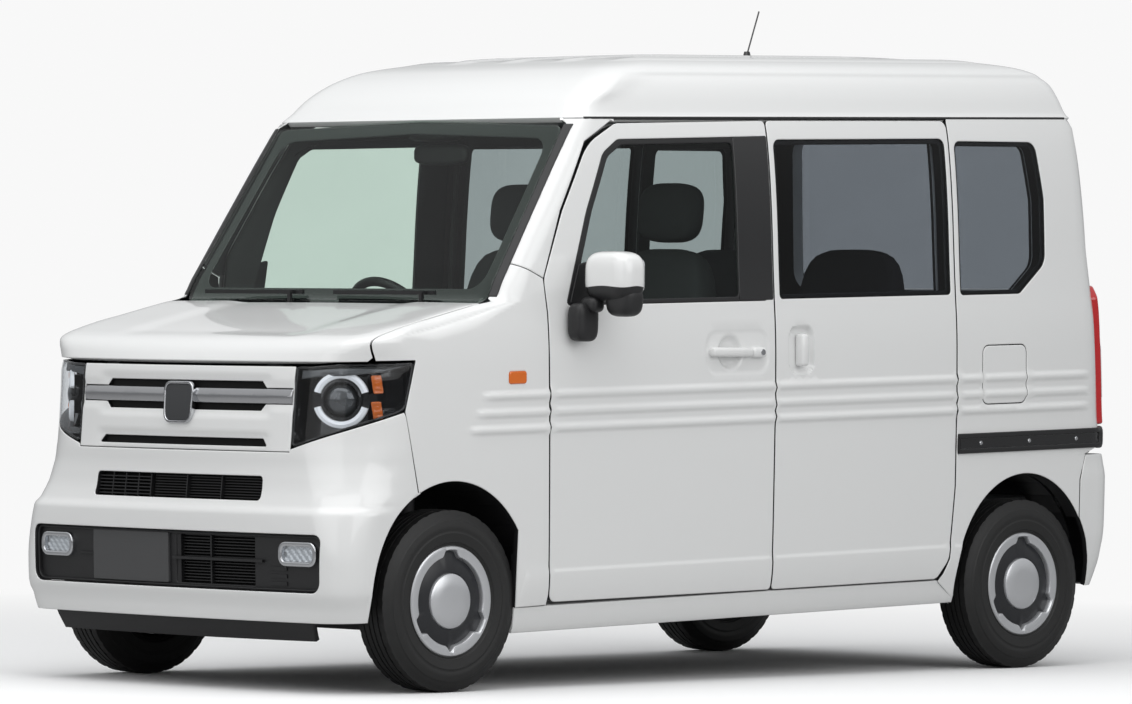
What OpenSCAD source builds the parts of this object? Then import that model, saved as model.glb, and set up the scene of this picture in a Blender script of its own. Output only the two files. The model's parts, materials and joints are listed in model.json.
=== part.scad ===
// Tall-roofed kei van: a hollow body with hinged doors, lids, steering and wheels.
// +X is the car's left, the front faces -Y, +Z is up, and the tyres stand on z = 0.
// The unladen body sits slightly tail-up, so every body height is lifted by rake * y.

/* [Overall sizes] */
// Width over the body sides
body_width = 1475; // [1200:5:1800]
// Distance between the front and rear axles
wheelbase = 2520; // [2050:10:3050]
// Front bumper face to the front axle
front_overhang = 464; // [380:2:560]
// Rear axle to the rear bumper face
rear_overhang = 411; // [340:2:500]
// Height of the roof's highest level above the body datum
roof_height = 1921; // [1850:1:2300]
// Tail-up stance, rise per unit of length
rake = 0.025; // [0:0.005:0.03]

/* [Wheels] */
// Outside diameter of a tyre
tyre_dia = 537; // [450:1:644]
// Width of a tyre
tyre_width = 145; // [120:1:165]
// Diameter of the rim under the tyre bead
rim_dia = 305; // [280:1:366]
// Distance between the left and right wheel centres, as an inset from the body width
track_inset = 82.5; // [78:0.5:100]
// Radius of the spindle that a hub turns on
spindle_r = 16; // [13:0.5:20]
// Radial running clearance at spindles and king pins
running_gap = 0.08; // [0.05:0.01:0.1]
// Turning angle of the front wheels each way
steer_angle = 35; // [20:1:35]

/* [Body panels] */
// Thickness of a whole door or side wall
door_t = 55; // [40:1:66]
// Thickness of the outer skins without a lining
skin_t = 22; // [16:1:27]
// Thickness of every window pane
glass_t = 5; // [4:0.5:6]
// Gap round a door or lid that moves
shut_gap = 8; // [6:0.5:9]
// Seam between two fixed panels
seam = 0.6; // [0.4:0.1:1]
// Distance that a closed door keeps from the flange it rests on
rest_gap = 0.3; // [0.2:0.05:0.4]
// Width of the flange behind a door's edge
flange_w = 22; // [16:1:30]
// Thickness of that flange
flange_t = 14; // [10:1:18]
// Height of the underside of the sills above the body datum
sill_z = 195; // [180:1:215]
// Height of the window sill line
belt_z = 1152; // [1140:1:1180]
// Height of the roof gutter
gutter_z = 1718; // [1712:1:1722]
// Half length of a wheel opening
arch_a = 322; // [315:1:335]
// Height of a wheel opening above its axle
arch_b = 352; // [345:1:365]

/* [Cabin] */
// Width of a front seat
seat_w = 460; // [400:5:500]
// Gap between the two front seats
seat_gap = 200; // [100:5:240]
// Thickness of the floor
floor_t = 30; // [20:1:40]
// Height of the floor's underside above the body datum
floor_z = 262; // [250:1:280]
// Outside diameter of the steering wheel
steering_wheel_dia = 370; // [330:5:380]

/* [Hidden] */

white = [0.93, 0.93, 0.92];
black = [0.06, 0.06, 0.065];
grey = [0.3, 0.31, 0.32];
tint = [0.25, 0.3, 0.3, 0.6];

half_w = body_width / 2;
body_length = front_overhang + wheelbase + rear_overhang;
y_front = -body_length / 2;
y_rear = body_length / 2;
y_axle_f = y_front + front_overhang;
y_axle_r = y_axle_f + wheelbase;
wheel_x = half_w - track_inset;
wheel_z = tyre_dia / 2;
kingpin_x = wheel_x - 55;
rake_deg = atan(rake);
// The roof's height above the gutter is taken up by the levels above it
roof_rise = roof_height - 1921;

// ---- shape of the whole body -------------------------------------------------
// Each level of the outer form: height, inset of the side, setback of the nose,
// setback of the tail, nose corner radius, tail corner radius, bow of the nose.
LEVELS = [
    [186, 42, 36, 48, 110, 50, 26], [245, 24, 14, 26, 90, 50, 24],
    [330, 10, 6, 4, 80, 50, 22], [420, 7, 2, 0, 85, 45, 22],
    [510, 5, 0, 0, 110, 45, 22], [600, 3, 5, 0, 150, 45, 24],
    [680, 2, 14, 26, 190, 55, 26], [760, 1, 24, 34, 220, 60, 30], [880, 0, 32, 40, 215, 60, 32],
    [990, 1, 42, 47, 200, 60, 34], [1008, 1, 52, 48, 200, 60, 36],
    [1045, 2, 70, 50, 150, 60, 24], [1070, 3, 107, 52, 110, 60, 14],
    [1096, 5, 196, 54, 90, 60, 16], [1138, 7, 396, 60, 80, 60, 22],
    [1165, 9, 537, 63, 80, 60, 10], [1181, 11, 631, 65, 80, 60, 8],
    [1237, 13, 670, 71, 80, 60, 8], [1437, 24, 808, 88, 75, 60, 8],
    [1633, 43, 943, 104, 70, 60, 6], [1715, 61, 1000, 114, 70, 60, 4],
    [1745, 70, 1030, 128, 85, 60, 6],
    [1785, 83, 1067, 136, 90, 70, 8], [1826, 103, 1125, 147, 90, 80, 10],
    [1852, 125, 1177, 170, 90, 90, 10], [1875, 158, 1243, 212, 90, 100, 10],
    [1893, 216, 1347, 290, 90, 110, 10], [1905, 300, 1440, 420, 90, 110, 8],
    [1913, 420, 1590, 600, 80, 90, 6], [1918, 540, 1760, 820, 70, 70, 4],
    [1921, 650, 1960, 1040, 40, 40, 2]
];
SIDE_STEPS = [0.07, 0.18, 0.9];

// How far the sides draw in towards the nose and the tail
function draw_in(y) =
    let (nose = max(0, y_axle_f + 334 - y) / 700, tail = max(0, y - y_axle_r + 86) / 450)
    12 * nose * nose + 8 * tail * tail;
function arc_2d(cx, cy, r, a0, a1, n) =
    [for (i = [0:n]) [cx + r * cos(a0 + (a1 - a0) * i / n), cy + r * sin(a0 + (a1 - a0) * i / n)]];
function lerp(a, b, s) = a + (b - a) * s;

// Left half of one level's outline from the nose centre to the tail centre
function half_ring(w, yf, yr, rf, rr, bow) =
    let (
        flat = w - rf,
        corner_y = yf + bow + rf,
        nose = [for (s = [0, 0.5]) [flat * s, yf + bow * pow(flat * s / w, 2)]],
        side_end = yr - rr
    )
    concat(
        nose,
        arc_2d(w - rf, corner_y, rf, -90, 0, 4),
        [for (s = SIDE_STEPS) [w, lerp(corner_y, side_end, s)]],
        arc_2d(w - rr, side_end, rr, 0, 90, 2),
        [[0, yr]]
    );
function full_ring(h) =
    let (n = len(h))
    concat(h, [for (i = [n - 2:-1:1]) [-h[i].x, h[i].y]]);
// Level row l moved inwards by t
function level_points(l, t) =
    let (
        up = l[0] > gutter_z ? roof_rise * min(1, (l[0] - gutter_z) / 120) : 0,
        drop = l[0] < 200 ? 12 : t * min(1, max(0, l[0] - 1000) / 100),
        z = l[0] + up - (t > 0 ? drop : 0),
        ring = full_ring(half_ring(half_w - l[1] - t, y_front + l[2] + t,
                                   y_rear - l[3] - t, l[4], l[5], l[6]))
    )
    [for (p = ring) [p.x * (1 - draw_in(p.y) / half_w), p.y, z + rake * p.y]];

// Closed solid of the whole outer form, shrunk by t on every side
module body_form(t = 0) {
    rings = [for (l = LEVELS) level_points(l, t)];
    n = len(rings[0]);
    for (j = [1:len(rings) - 1])
        hull()
            polyhedron(
                concat(rings[j - 1], rings[j]),
                [for (i = [0:n - 1]) [i, n + i, n + (i + 1) % n, (i + 1) % n]]
            );
}

// Layer of the body between two depths below its outer surface
module skin(outer, inner) {
    difference() {
        body_form(outer);
        body_form(inner);
    }
}

// ---- outlines ------------------------------------------------------------------
function unit(v) = v / norm(v);
// Corner [x, y, r] between its neighbours, rounded to r
function corner(a, b, c, n) =
    let (
        p = [b.x, b.y],
        u = unit([a.x, a.y] - p),
        v = unit([c.x, c.y] - p),
        half = acos(max(-1, min(1, u * v))) / 2,
        d = b[2] / tan(half),
        m = p + unit(u + v) * b[2] / sin(half),
        s = p + u * d - m,
        e = p + v * d - m,
        a0 = atan2(s.y, s.x),
        turn = (atan2(e.y, e.x) - a0 + 540) % 360 - 180
    )
    b[2] == 0 ? [p] :
        [for (i = [0:n]) m + b[2] * [cos(a0 + turn * i / n), sin(a0 + turn * i / n)]];
function rounded(p, n = 3) =
    let (k = len(p))
    [for (i = [0:k - 1]) each corner(p[(i + k - 1) % k], p[i], p[(i + 1) % k], n)];
// Side-view points lifted to the stance
function raked(p) = [for (q = p) [q.x, q.y + rake * q.x]];
// Wheel opening in side view
function arch(y, grow = 0) =
    [for (i = [0:27])
        [y + (arch_a + grow) * cos(i * 360 / 28), wheel_z + (arch_b + grow) * sin(i * 360 / 28)]];

// Side-view, front-view and plan-view prisms
module side_prism(x0, x1) {
    translate([x0, 0, 0])
        rotate([90, 0, 90])
            linear_extrude(x1 - x0)
                children();
}
module front_prism(y0, y1) {
    translate([0, y1, 0])
        rotate([90, 0, 0])
            linear_extrude(y1 - y0)
                children();
}
module plan_prism(z0, z1) {
    translate([0, 0, z0])
        linear_extrude(z1 - z0)
            children();
}
module both_sides() {
    children();
    mirror([1, 0, 0])
        children();
}

// Stations along the car
y_hinge = y_axle_f + 372;          // foremost point of the front door
y_gap = y_axle_f + 1354;           // between the front door and the sliding door
y_slide_end = y_axle_r - 341;      // rear edge of the sliding door
y_cowl = y_axle_f + 114;           // rear edge of the bonnet
far = half_w + 60;                 // beyond the side of the body
deep = half_w - 190;               // inboard of every side wall
hinge_edge_top = 1340;             // top of the front door's thinner edge
nose_top = 1012;                   // seam between the bonnet and the nose
gate_front = y_rear - 198;         // foremost station of the tailgate
lining = door_t + flange_t + rest_gap; // depth of the side walls with their flanges

FRONT_DOOR = [
    [y_hinge + 34, 278, 26], [y_hinge + 8, 1138, 60], [y_hinge - 5, 1237, 60],
    [y_hinge + 78, 1437, 300], [y_hinge + 200, 1640, 170], [y_hinge + 330, 1702, 60],
    [y_gap - shut_gap / 2, gutter_z - 8, 14], [y_gap - shut_gap / 2, 274, 12]
];
SLIDING_DOOR = [
    [y_gap + shut_gap / 2, 274, 12], [y_gap + shut_gap / 2, gutter_z - 8, 14],
    [y_slide_end - 3, gutter_z - 8, 26], [y_slide_end, 560, 200],
    [y_slide_end - 22, 330, 60], [y_slide_end - 70, 270, 30]
];
FRONT_WINDOW = [
    [y_hinge + 84, belt_z + 10, 12], [y_hinge + 178, 1436, 400],
    [y_hinge + 262, 1612, 60], [y_hinge + 330, 1652, 40],
    [y_gap - 160, 1660, 22], [y_gap - 156, belt_z + 10, 12]
];
SLIDING_WINDOW = [
    [y_gap + 45, belt_z + 14, 14], [y_gap + 45, 1648, 26],
    [y_slide_end - 45, 1652, 26], [y_slide_end - 45, belt_z + 14, 14]
];
QUARTER_WINDOW = [
    [y_slide_end + 32, belt_z + 14, 14], [y_slide_end + 32, 1640, 26],
    [y_axle_r + 66, 1636, 40], [y_axle_r + 92, 1462, 60],
    [y_axle_r + 88, 1260, 60], [y_axle_r - 36, belt_z + 14, 30]
];
flap_y = y_axle_r - 115;
flap_half = 102;
flap_t = 10;
FLAP = [
    [flap_y - flap_half, 815, 24], [flap_y - flap_half, 998, 24],
    [flap_y + flap_half, 998, 24], [flap_y + flap_half, 815, 24]
];
sill_top = 268;
bumper_top = 640;
bumper_seam_r = y_axle_r + arch_a - 62; // rear bumper's edge above the wheel
// Whole side from the windscreen to the tail, with its sill
SIDE_WALL = [
    [y_axle_f + arch_a - 60, sill_z, 0], [y_axle_f + arch_a - 60, 640, 0],
    [y_hinge - 280, 1178, 0], [y_hinge + 150, gutter_z, 0], [y_rear + 5, gutter_z, 0],
    [y_rear + 5, bumper_top + seam, 0], [bumper_seam_r - seam, bumper_top + seam, 0],
    [bumper_seam_r - seam, sill_z, 0]
];
FENDER = [
    [y_axle_f + arch_a - 62, sill_top, 0], [y_front + 324, 620, 0],
    [y_front + 266, 860, 0], [y_front + 302, nose_top, 0], [y_front - 5, nose_top, 0],
    [y_front - 5, 1300, 0], [y_hinge - 114, 1300, 0], [y_hinge - 114, 1284, 0],
    [y_hinge - 10 - shut_gap, 1237, 0], [y_hinge - 10 - shut_gap, sill_top, 0]
];
BUMPER_SIDE = [
    [y_front - 5, 249, 0], [y_axle_f - arch_a + 62, 249, 0], [y_front + 324 - seam, 620, 0],
    [y_front + 266 - seam, 860, 0], [y_front + 266 - seam, 880, 0], [y_front - 5, 880, 0]
];
REAR_BUMPER = [
    [bumper_seam_r, 215, 0], [bumper_seam_r, bumper_top, 0],
    [y_rear + 5, bumper_top, 0], [y_rear + 5, 215, 0]
];
// Nose outlines, seen from the front
lamp_in = half_w - 268;
LAMP = [
    [lamp_in, 757, 10], [half_w - 90, 800, 60], [half_w + 40, 862, 0],
    [half_w + 40, 1004, 0], [lamp_in, 994, 10]
];
GRILLE = [
    [-lamp_in + seam, 744, 0], [lamp_in - seam, 744, 0],
    [lamp_in - seam, 996, 0], [-lamp_in + seam, 996, 0]
];
GRILLE_SLOTS = [[930, 22, 330], [866, 20, 330], [770, 24, 350]];
UPPER_SLOT = [[-370, 602, 14], [370, 602, 14], [367, 673, 14], [-367, 673, 14]];
mouth_x = half_w - 105;
MOUTH = [[-mouth_x, 339, 34], [mouth_x, 339, 34], [mouth_x, 507, 24], [-mouth_x, 507, 24]];
fog_x = half_w - 202;
FOG = [
    [fog_x - 68, 420, 22], [fog_x + 68, 420, 22],
    [fog_x + 68, 480, 22], [fog_x - 68, 480, 22]
];
bonnet_x = half_w - 48;
guide_top = 724;                       // top of the sliding door's rail
SCREEN = [
    [half_w - 71, 1176, 30], [half_w - 106, 1700, 40], [0, 1716, 0],
    [-half_w + 106, 1700, 40], [-half_w + 71, 1176, 30]
];
// Tail outlines, seen from behind
gate_x = half_w - 98;
gate_top = gutter_z + 74;
TAILGATE = [
    [-gate_x, bumper_top + 10, 50], [gate_x, bumper_top + 10, 50],
    [gate_x, belt_z, 0], [gate_x - 24, gate_top, 90],
    [24 - gate_x, gate_top, 90], [-gate_x, belt_z, 0]
];
REAR_WINDOW = [
    [-gate_x + 70, belt_z + 20, 60], [gate_x - 70, belt_z + 20, 60],
    [gate_x - 96, gate_top - 120, 70], [96 - gate_x, gate_top - 120, 70]
];
TAIL_LAMP = [
    [gate_x + shut_gap + 2, guide_top + 2, 8], [half_w - 29, guide_top + 2, 8],
    [half_w - 29, 1140, 40],
    [gate_x + shut_gap + 14, 1208, 20]
];

// Outline in side view, at a station in front view, or grown by a margin
module side_outline(p, grow = 0) {
    if (grow == 0)
        polygon(raked(rounded(p)));
    else
        offset(delta = grow)
            polygon(raked(rounded(p)));
}
module end_outline(p, y, grow = 0) {
    points = [for (q = rounded(p)) [q.x, q.y + rake * y]];
    if (grow == 0)
        polygon(points);
    else
        offset(delta = grow)
            polygon(points);
}
module nose_cut(p, grow = 0) {
    front_prism(y_front - 20, y_front + 420)
        end_outline(p, y_front, grow);
}
module screen_cut(grow = 0) {
    front_prism(y_front + 400, y_axle_f + 700)
        end_outline(SCREEN, y_hinge - 60, grow);
}
module tail_cut(p, grow = 0) {
    front_prism(y_axle_r + 170, y_rear + 20)
        end_outline(p, y_rear, grow);
}
module slab(y0, y1, z0, z1) {
    side_prism(-far, far)
        side_outline([[y0, z0, 0], [y1, z0, 0], [y1, z1, 0], [y0, z1, 0]]);
}

// ---- side walls and doors ---------------------------------------------------------
module door_outlines(grow) {
    side_outline(FRONT_DOOR, grow);
    side_outline(SLIDING_DOOR, grow);
}
// Wall with a flange behind each door, and pockets that the doors close into
module side_panel(flap) {
    color(white)
        difference() {
            intersection() {
                skin(0, lining);
                side_prism(deep, far)
                    difference() {
                        side_outline(SIDE_WALL);
                        polygon(arch(y_axle_r));
                        polygon(arch(y_axle_f));
                        side_outline(FENDER, seam);
                        side_outline(QUARTER_WINDOW);
                        door_outlines(-flange_w);
                    }
            }
            difference() {
                side_prism(deep, far)
                    door_outlines(shut_gap);
                body_form(door_t + rest_gap);
            }
            if (flap)
                difference() {
                    side_prism(deep, far)
                        side_outline(FLAP, shut_gap);
                    body_form(flap_t + rest_gap);
                }
            screen_cut(seam);
            tail_cut(TAILGATE, -flange_w);
            difference() {
                tail_cut(TAILGATE, shut_gap);
                body_form(door_t + rest_gap);
            }
        }
}
module front_door() {
    color(white)
        difference() {
            intersection() {
                skin(0, door_t);
                side_prism(deep, far)
                    difference() {
                        side_outline(FRONT_DOOR);
                        side_outline(FRONT_WINDOW);
                    }
            }
            // Thinner hinge edge, so that it swings clear of its flange
            intersection() {
                body_form(door_t - flange_t);
                translate([0, y_hinge - flange_w, 0])
                    cube([far, 2 * flange_w + 2, hinge_edge_top]);
            }
        }
}
module pane(p, depth) {
    color(tint)
        intersection() {
            skin(depth, depth + glass_t);
            side_prism(deep, far)
                side_outline(p, -seam);
        }
}
module sliding_door() {
    color(white)
        intersection() {
            skin(0, door_t);
            side_prism(deep, far)
                difference() {
                    side_outline(SLIDING_DOOR);
                    side_outline(SLIDING_WINDOW);
                }
        }
}
module fuel_flap() {
    color(white)
        intersection() {
            skin(0, flap_t);
            side_prism(deep, far)
                side_outline(FLAP);
        }
}
module quarter_glass() {
    both_sides()
        pane(QUARTER_WINDOW, 4);
}
module sliding_door_glass() {
    both_sides()
        pane(SLIDING_WINDOW, 4);
}
module slide_rails() {
    color(black)
        both_sides()
            intersection() {
                skin(-8, -rest_gap);
                side_prism(deep, far)
                    side_outline([[y_slide_end + 6, 660, 4], [y_rear - 20, 660, 4],
                                  [y_rear - 20, guide_top, 4], [y_slide_end + 6, guide_top, 4]]);
            }
}

// ---- roof, nose and tail -----------------------------------------------------------
module roof_panel() {
    color(white)
        difference() {
            intersection() {
                skin(0, skin_t);
                side_prism(-far, far)
                    side_outline([[y_hinge + 60, 1688, 0], [y_hinge + 151, gutter_z + seam, 0],
                                  [y_rear + 5, gutter_z + seam, 0], [y_rear + 5, roof_height + 80, 0],
                                  [y_hinge + 60, roof_height + 80, 0]]);
            }
            screen_cut(seam);
            tail_cut(TAILGATE, shut_gap * 2);
        }
}
module front_fenders() {
    color(white)
        both_sides()
            difference() {
                intersection() {
                    skin(0, skin_t);
                    side_prism(deep, far)
                        difference() {
                            side_outline(FENDER);
                            polygon(arch(y_axle_f));
                        }
                }
                bonnet_space(shut_gap);
                screen_cut(seam);
            }
}
module bonnet_space(grow) {
    plan_prism(nose_top + rake * y_front - grow, 1300)
        translate([-bonnet_x - grow, y_front - 20])
            square([2 * (bonnet_x + grow), y_cowl - y_front + 20 + grow * 3]);
}
module bonnet() {
    color(white)
        intersection() {
            skin(0, skin_t);
            bonnet_space(0);
        }
}
module front_bumper() {
    color(white)
        difference() {
            intersection() {
                skin(0, skin_t);
                side_prism(-far, far)
                    difference() {
                        side_outline(BUMPER_SIDE);
                        polygon(arch(y_axle_f));
                    }
            }
            nose_cut(LAMP, seam);
            mirror([1, 0, 0])
                nose_cut(LAMP, seam);
            nose_cut(GRILLE, seam);
            nose_cut([[-lamp_in, 744, 0], [lamp_in, 744, 0],
                      [lamp_in, 900, 0], [-lamp_in, 900, 0]], 3);
            nose_cut(UPPER_SLOT);
            nose_cut(MOUTH);
        }
}
module air_dam() {
    color(black)
        intersection() {
            skin(14, 14 + skin_t);
            slab(y_front, y_front + 250, 190, 249 - seam);
            cube([2 * (half_w - 150), 2 * body_length, 1000], center = true);
        }
}
module bumper_insert() {
    color(grey)
        difference() {
            union() {
                intersection() {
                    skin(10, 34);
                    nose_cut(MOUTH, -seam);
                }
                intersection() {
                    skin(10, 34);
                    nose_cut(UPPER_SLOT, -seam);
                }
            }
            both_sides()
                nose_cut(FOG);
        }
}
module fog_lamps() {
    color([0.8, 0.82, 0.84])
        both_sides()
            intersection() {
                skin(6, 60);
                nose_cut(FOG, -seam);
            }
}
module front_grille() {
    color(white)
        difference() {
            intersection() {
                skin(2, skin_t);
                nose_cut(GRILLE);
            }
            for (s = GRILLE_SLOTS)
                translate([-s[2], y_front - 20, s[0] - s[1] / 2 + rake * y_front])
                    cube([2 * s[2], 300, s[1]]);
        }
}
module headlamps() {
    color([0.2, 0.21, 0.22])
        both_sides()
            intersection() {
                skin(1, 80);
                nose_cut(LAMP);
                side_prism(lamp_in - 10, far)
                    side_outline([[y_front - 5, 740, 0], [y_front + 266 - seam, 740, 0],
                                  [y_front + 266 - seam, 860, 0],
                                  [y_front + 302 - seam, nose_top - seam, 0],
                                  [y_front - 5, nose_top - seam, 0]]);
            }
}
module windscreen() {
    color(tint)
        intersection() {
            skin(1, 1 + glass_t);
            screen_cut();
            translate([-far, y_cowl + 30, 0])
                cube([2 * far, wheelbase, 3000]);
        }
}
module rear_bumper() {
    color(white)
        intersection() {
            skin(0, skin_t);
            side_prism(-far, far)
                difference() {
                    side_outline(REAR_BUMPER);
                    polygon(arch(y_axle_r));
                }
        }
}
module tail_lamps() {
    color([0.7, 0.04, 0.05])
        both_sides()
            intersection() {
                skin(-30, -rest_gap);
                tail_cut(TAIL_LAMP);
                cube([half_w, y_rear - 6, 3000]);
            }
}
module tailgate() {
    color(white)
        difference() {
            intersection() {
                skin(0, door_t);
                tail_cut(TAILGATE);
                translate([-far, gate_front, 0])
                    cube([2 * far, 400, 3000]);
            }
            tail_cut(REAR_WINDOW);
        }
}
module tailgate_glass() {
    color(tint)
        intersection() {
            skin(4, 4 + glass_t);
            tail_cut(REAR_WINDOW, -seam);
        }
}

// ---- floor, frame and running gear ---------------------------------------------------
cabin_floor = floor_z + floor_t;       // top of the floor under the front seats
load_floor = 500;                      // top of the load floor
y_step = y_gap - 220;                  // where the floor steps up
rail_x = 360;
rail_w = 60;
rail_top = floor_z + 50;                // top of the rails ahead of the cabin
front_well_x = 430;                    // inner walls of the wheel housings
rear_well_x = 540;
wall_top = 1090;                       // wall between the engine and the cabin
cowl_top = 1130;                       // tray below the windscreen

// Height just below the load floor at a station
function under_load(y) = load_floor - floor_t - rest_gap + rake * y;
module stance_beam(x0, x1, p) {
    side_prism(x0, x1)
        side_outline(p);
}
module floor_pan() {
    color(grey)
        difference() {
            intersection() {
                body_form(lining);
                union() {
                    // Floor with its step and the wall in front of the cabin
                    stance_beam(-far, far, [
                        [y_cowl + 100, floor_z, 0], [y_step + floor_t, floor_z, 0],
                        [y_step + floor_t, load_floor - floor_t, 0],
                        [y_rear - 110, load_floor - floor_t, 0], [y_rear - 110, load_floor, 0],
                        [y_step, load_floor, 0], [y_step, cabin_floor, 0],
                        [y_cowl + 130, cabin_floor, 0], [y_cowl + 130, wall_top, 0],
                        [y_cowl + 100, wall_top, 0]
                    ]);
                    // Rails under both floors
                    for (s = [-1, 1])
                        stance_beam(s * rail_x - rail_w / 2, s * rail_x + rail_w / 2, [
                            [y_front + 80, floor_z - 20, 0], [y_step + 60, floor_z - 20, 0],
                            [y_step + 60, load_floor - floor_t - 60, 0],
                            [y_rear - 120, load_floor - floor_t - 60, 0],
                            [y_rear - 120, load_floor - floor_t + 1, 0],
                            [y_step, load_floor - floor_t + 1, 0],
                            [y_step, floor_z + 1, 0], [y_cowl + 101, floor_z + 1, 0],
                            [y_cowl + 101, rail_top, 0], [y_front + 80, rail_top, 0]
                        ]);
                }
            }
            // Room for the wheels
            both_sides() {
                side_prism(front_well_x, far)
                    polygon(arch(y_axle_f, 8));
                side_prism(rear_well_x, far)
                    polygon(arch(y_axle_r, 8));
            }
        }
}
module front_frame() {
    color(black)
        intersection() {
            body_form(skin_t + seam);
            union() {
                // Bumper beam and the posts that stand on the rails
                stance_beam(-half_w + 150, half_w - 150, [
                    [y_front, 522, 0], [y_front + 82, 522, 0],
                    [y_front + 82, 590, 0], [y_front, 590, 0]]);
                for (s = [-1, 1])
                    stance_beam(s * rail_x - 30, s * rail_x + 30, [
                        [y_front + 80.5, rail_top + rest_gap, 0], [y_front + 130, rail_top + rest_gap, 0],
                        [y_front + 130, 1100, 0], [y_front + 80.5, 1100, 0]]);
                // Beam behind the grille
                stance_beam(-lamp_in + 4, lamp_in - 4, [
                    [y_front + 82, 920, 0], [y_front + 130, 920, 0],
                    [y_front + 130, 985, 0], [y_front + 82, 985, 0]]);
                // Cowl tray below the windscreen
                stance_beam(-half_w + 80, half_w - 80, [
                    [y_cowl + 34, wall_top + rest_gap, 0], [y_cowl + 130, wall_top + rest_gap, 0],
                    [y_cowl + 130, cowl_top, 0], [y_cowl + 34, cowl_top, 0]]);
            }
        }
}
module engine() {
    color(grey)
        translate([-260, y_axle_f - 250, member_top + rest_gap])
            cube([540, 330, 500]);
}
module fuel_tank() {
    color(black)
        stance_beam(-320, 130, [
            [y_step + 80, 270, 30], [y_step + 560, 270, 30],
            [y_step + 560, load_floor - floor_t - rest_gap, 0],
            [y_step + 80, load_floor - floor_t - rest_gap, 0]]);
}
module exhaust() {
    pipe_z = 340 + rake * y_axle_r;
    color(grey) {
        translate([230, y_step + 100, pipe_z])
            rotate([-90, 0, 0])
                cylinder(r = 22, h = y_rear - skin_t - 20 - y_step - 100, $fn = 32);
        translate([230, y_axle_r + 120, pipe_z])
            rotate([-90, 0, 0])
                cylinder(r = 72, h = 200, $fn = 48);
        // Hanger up to the load floor
        translate([220, y_axle_r + 200, pipe_z])
            cube([20, 6, under_load(y_axle_r + 200) - pipe_z]);
    }
}
module wheel_liners() {
    color(black)
        both_sides() {
            intersection() {
                body_form(skin_t + seam);
                wheel_liner(y_axle_f, front_well_x + seam);
            }
            intersection() {
                body_form(lining + seam);
                wheel_liner(y_axle_r, rear_well_x + seam);
            }
        }
}
module wheel_liner(y, x0) {
    side_prism(x0, far)
        difference() {
            polygon(arch(y, 7));
            polygon(arch(y, 3));
            translate([y - 600, -600])
                square([1200, 600 + sill_z + 100]);
        }
}
arm_z = wheel_z - 62.3;
kingpin_r = 12;
member_top = floor_z - 20 + rake * (y_axle_f - 45) - rest_gap;
module front_suspension() {
    color(black) {
        translate([-430, y_axle_f - 45, arm_z - 34])
            cube([860, 90, member_top - arm_z + 34]);
        both_sides() {
            translate([0, y_axle_f - 30, arm_z - 34])
                cube([kingpin_x + 26, 60, 34]);
            translate([kingpin_x, y_axle_f, arm_z - 10])
                cylinder(r = kingpin_r, h = 140, $fn = 48);
            // Strut up to the wheel housing
            translate([kingpin_x - 75, y_axle_f, arm_z - 10])
                cylinder(r = 24, h = wheel_z + arch_b - 20 - arm_z + 10, $fn = 48);
            translate([kingpin_x - 75, y_axle_f, wheel_z + arch_b - 30])
                cylinder(r = 8, h = 32 - rest_gap, $fn = 48);
        }
    }
}
module knuckle() {
    color(grey)
        translate([kingpin_x, y_axle_f, wheel_z])
            difference() {
                union() {
                    translate([-26, -32, -62])
                        cube([54, 64, 120]);
                    rotate([0, 90, 0])
                        cylinder(r = spindle_r, h = wheel_x - kingpin_x + 40, $fn = 48);
                }
                translate([0, 0, -80])
                    cylinder(r = kingpin_r + running_gap, h = 160, $fn = 48);
            }
}
module rear_axle() {
    color(black) {
        translate([-wheel_x + 62, y_axle_r, wheel_z])
            rotate([0, 90, 0])
                cylinder(r = 32, h = 2 * wheel_x - 124, $fn = 48);
        translate([-wheel_x - 40, y_axle_r, wheel_z])
            rotate([0, 90, 0])
                cylinder(r = spindle_r, h = 2 * wheel_x + 80, $fn = 48);
        both_sides() {
            // Spring and trailing arm up to the body
            translate([470, y_axle_r, wheel_z])
                cylinder(r = 40, h = under_load(y_axle_r - 40) - wheel_z, $fn = 48);
            translate([430, y_step + 330, wheel_z - 24])
                cube([40, y_axle_r - y_step - 330, 44]);
            translate([430, y_step + 330, wheel_z - 24])
                cube([40, 60, under_load(y_step + 330) - wheel_z + 24]);
        }
    }
}
// Profile of a tyre, radius against width, with its cavity open to the rim
module tyre() {
    half_t = tyre_width / 2;
    r0 = rim_dia / 2 + 0.3;
    r1 = tyre_dia / 2;
    color(black)
        rotate([0, 90, 0])
            rotate_extrude($fn = 120)
                difference() {
                    polygon(rounded([[r0, -half_t + 15, 4], [r0 + 30, -half_t, 24], [r1 - 40, -half_t, 24],
                                     [r1 - 1.5, -half_t + 14, 12], [r1, 0, 0], [r1 - 1.5, half_t - 14, 12],
                                     [r1 - 40, half_t, 24], [r0 + 30, half_t, 24], [r0, half_t - 15, 4]]));
                    polygon(rounded([[r0 - 5, -half_t + 24, 0], [r0 + 34, -half_t + 10, 16],
                                     [r1 - 18, -half_t + 16, 16], [r1 - 18, half_t - 16, 16],
                                     [r0 + 34, half_t - 10, 16], [r0 - 5, half_t - 24, 0]]));
                }
}
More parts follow.
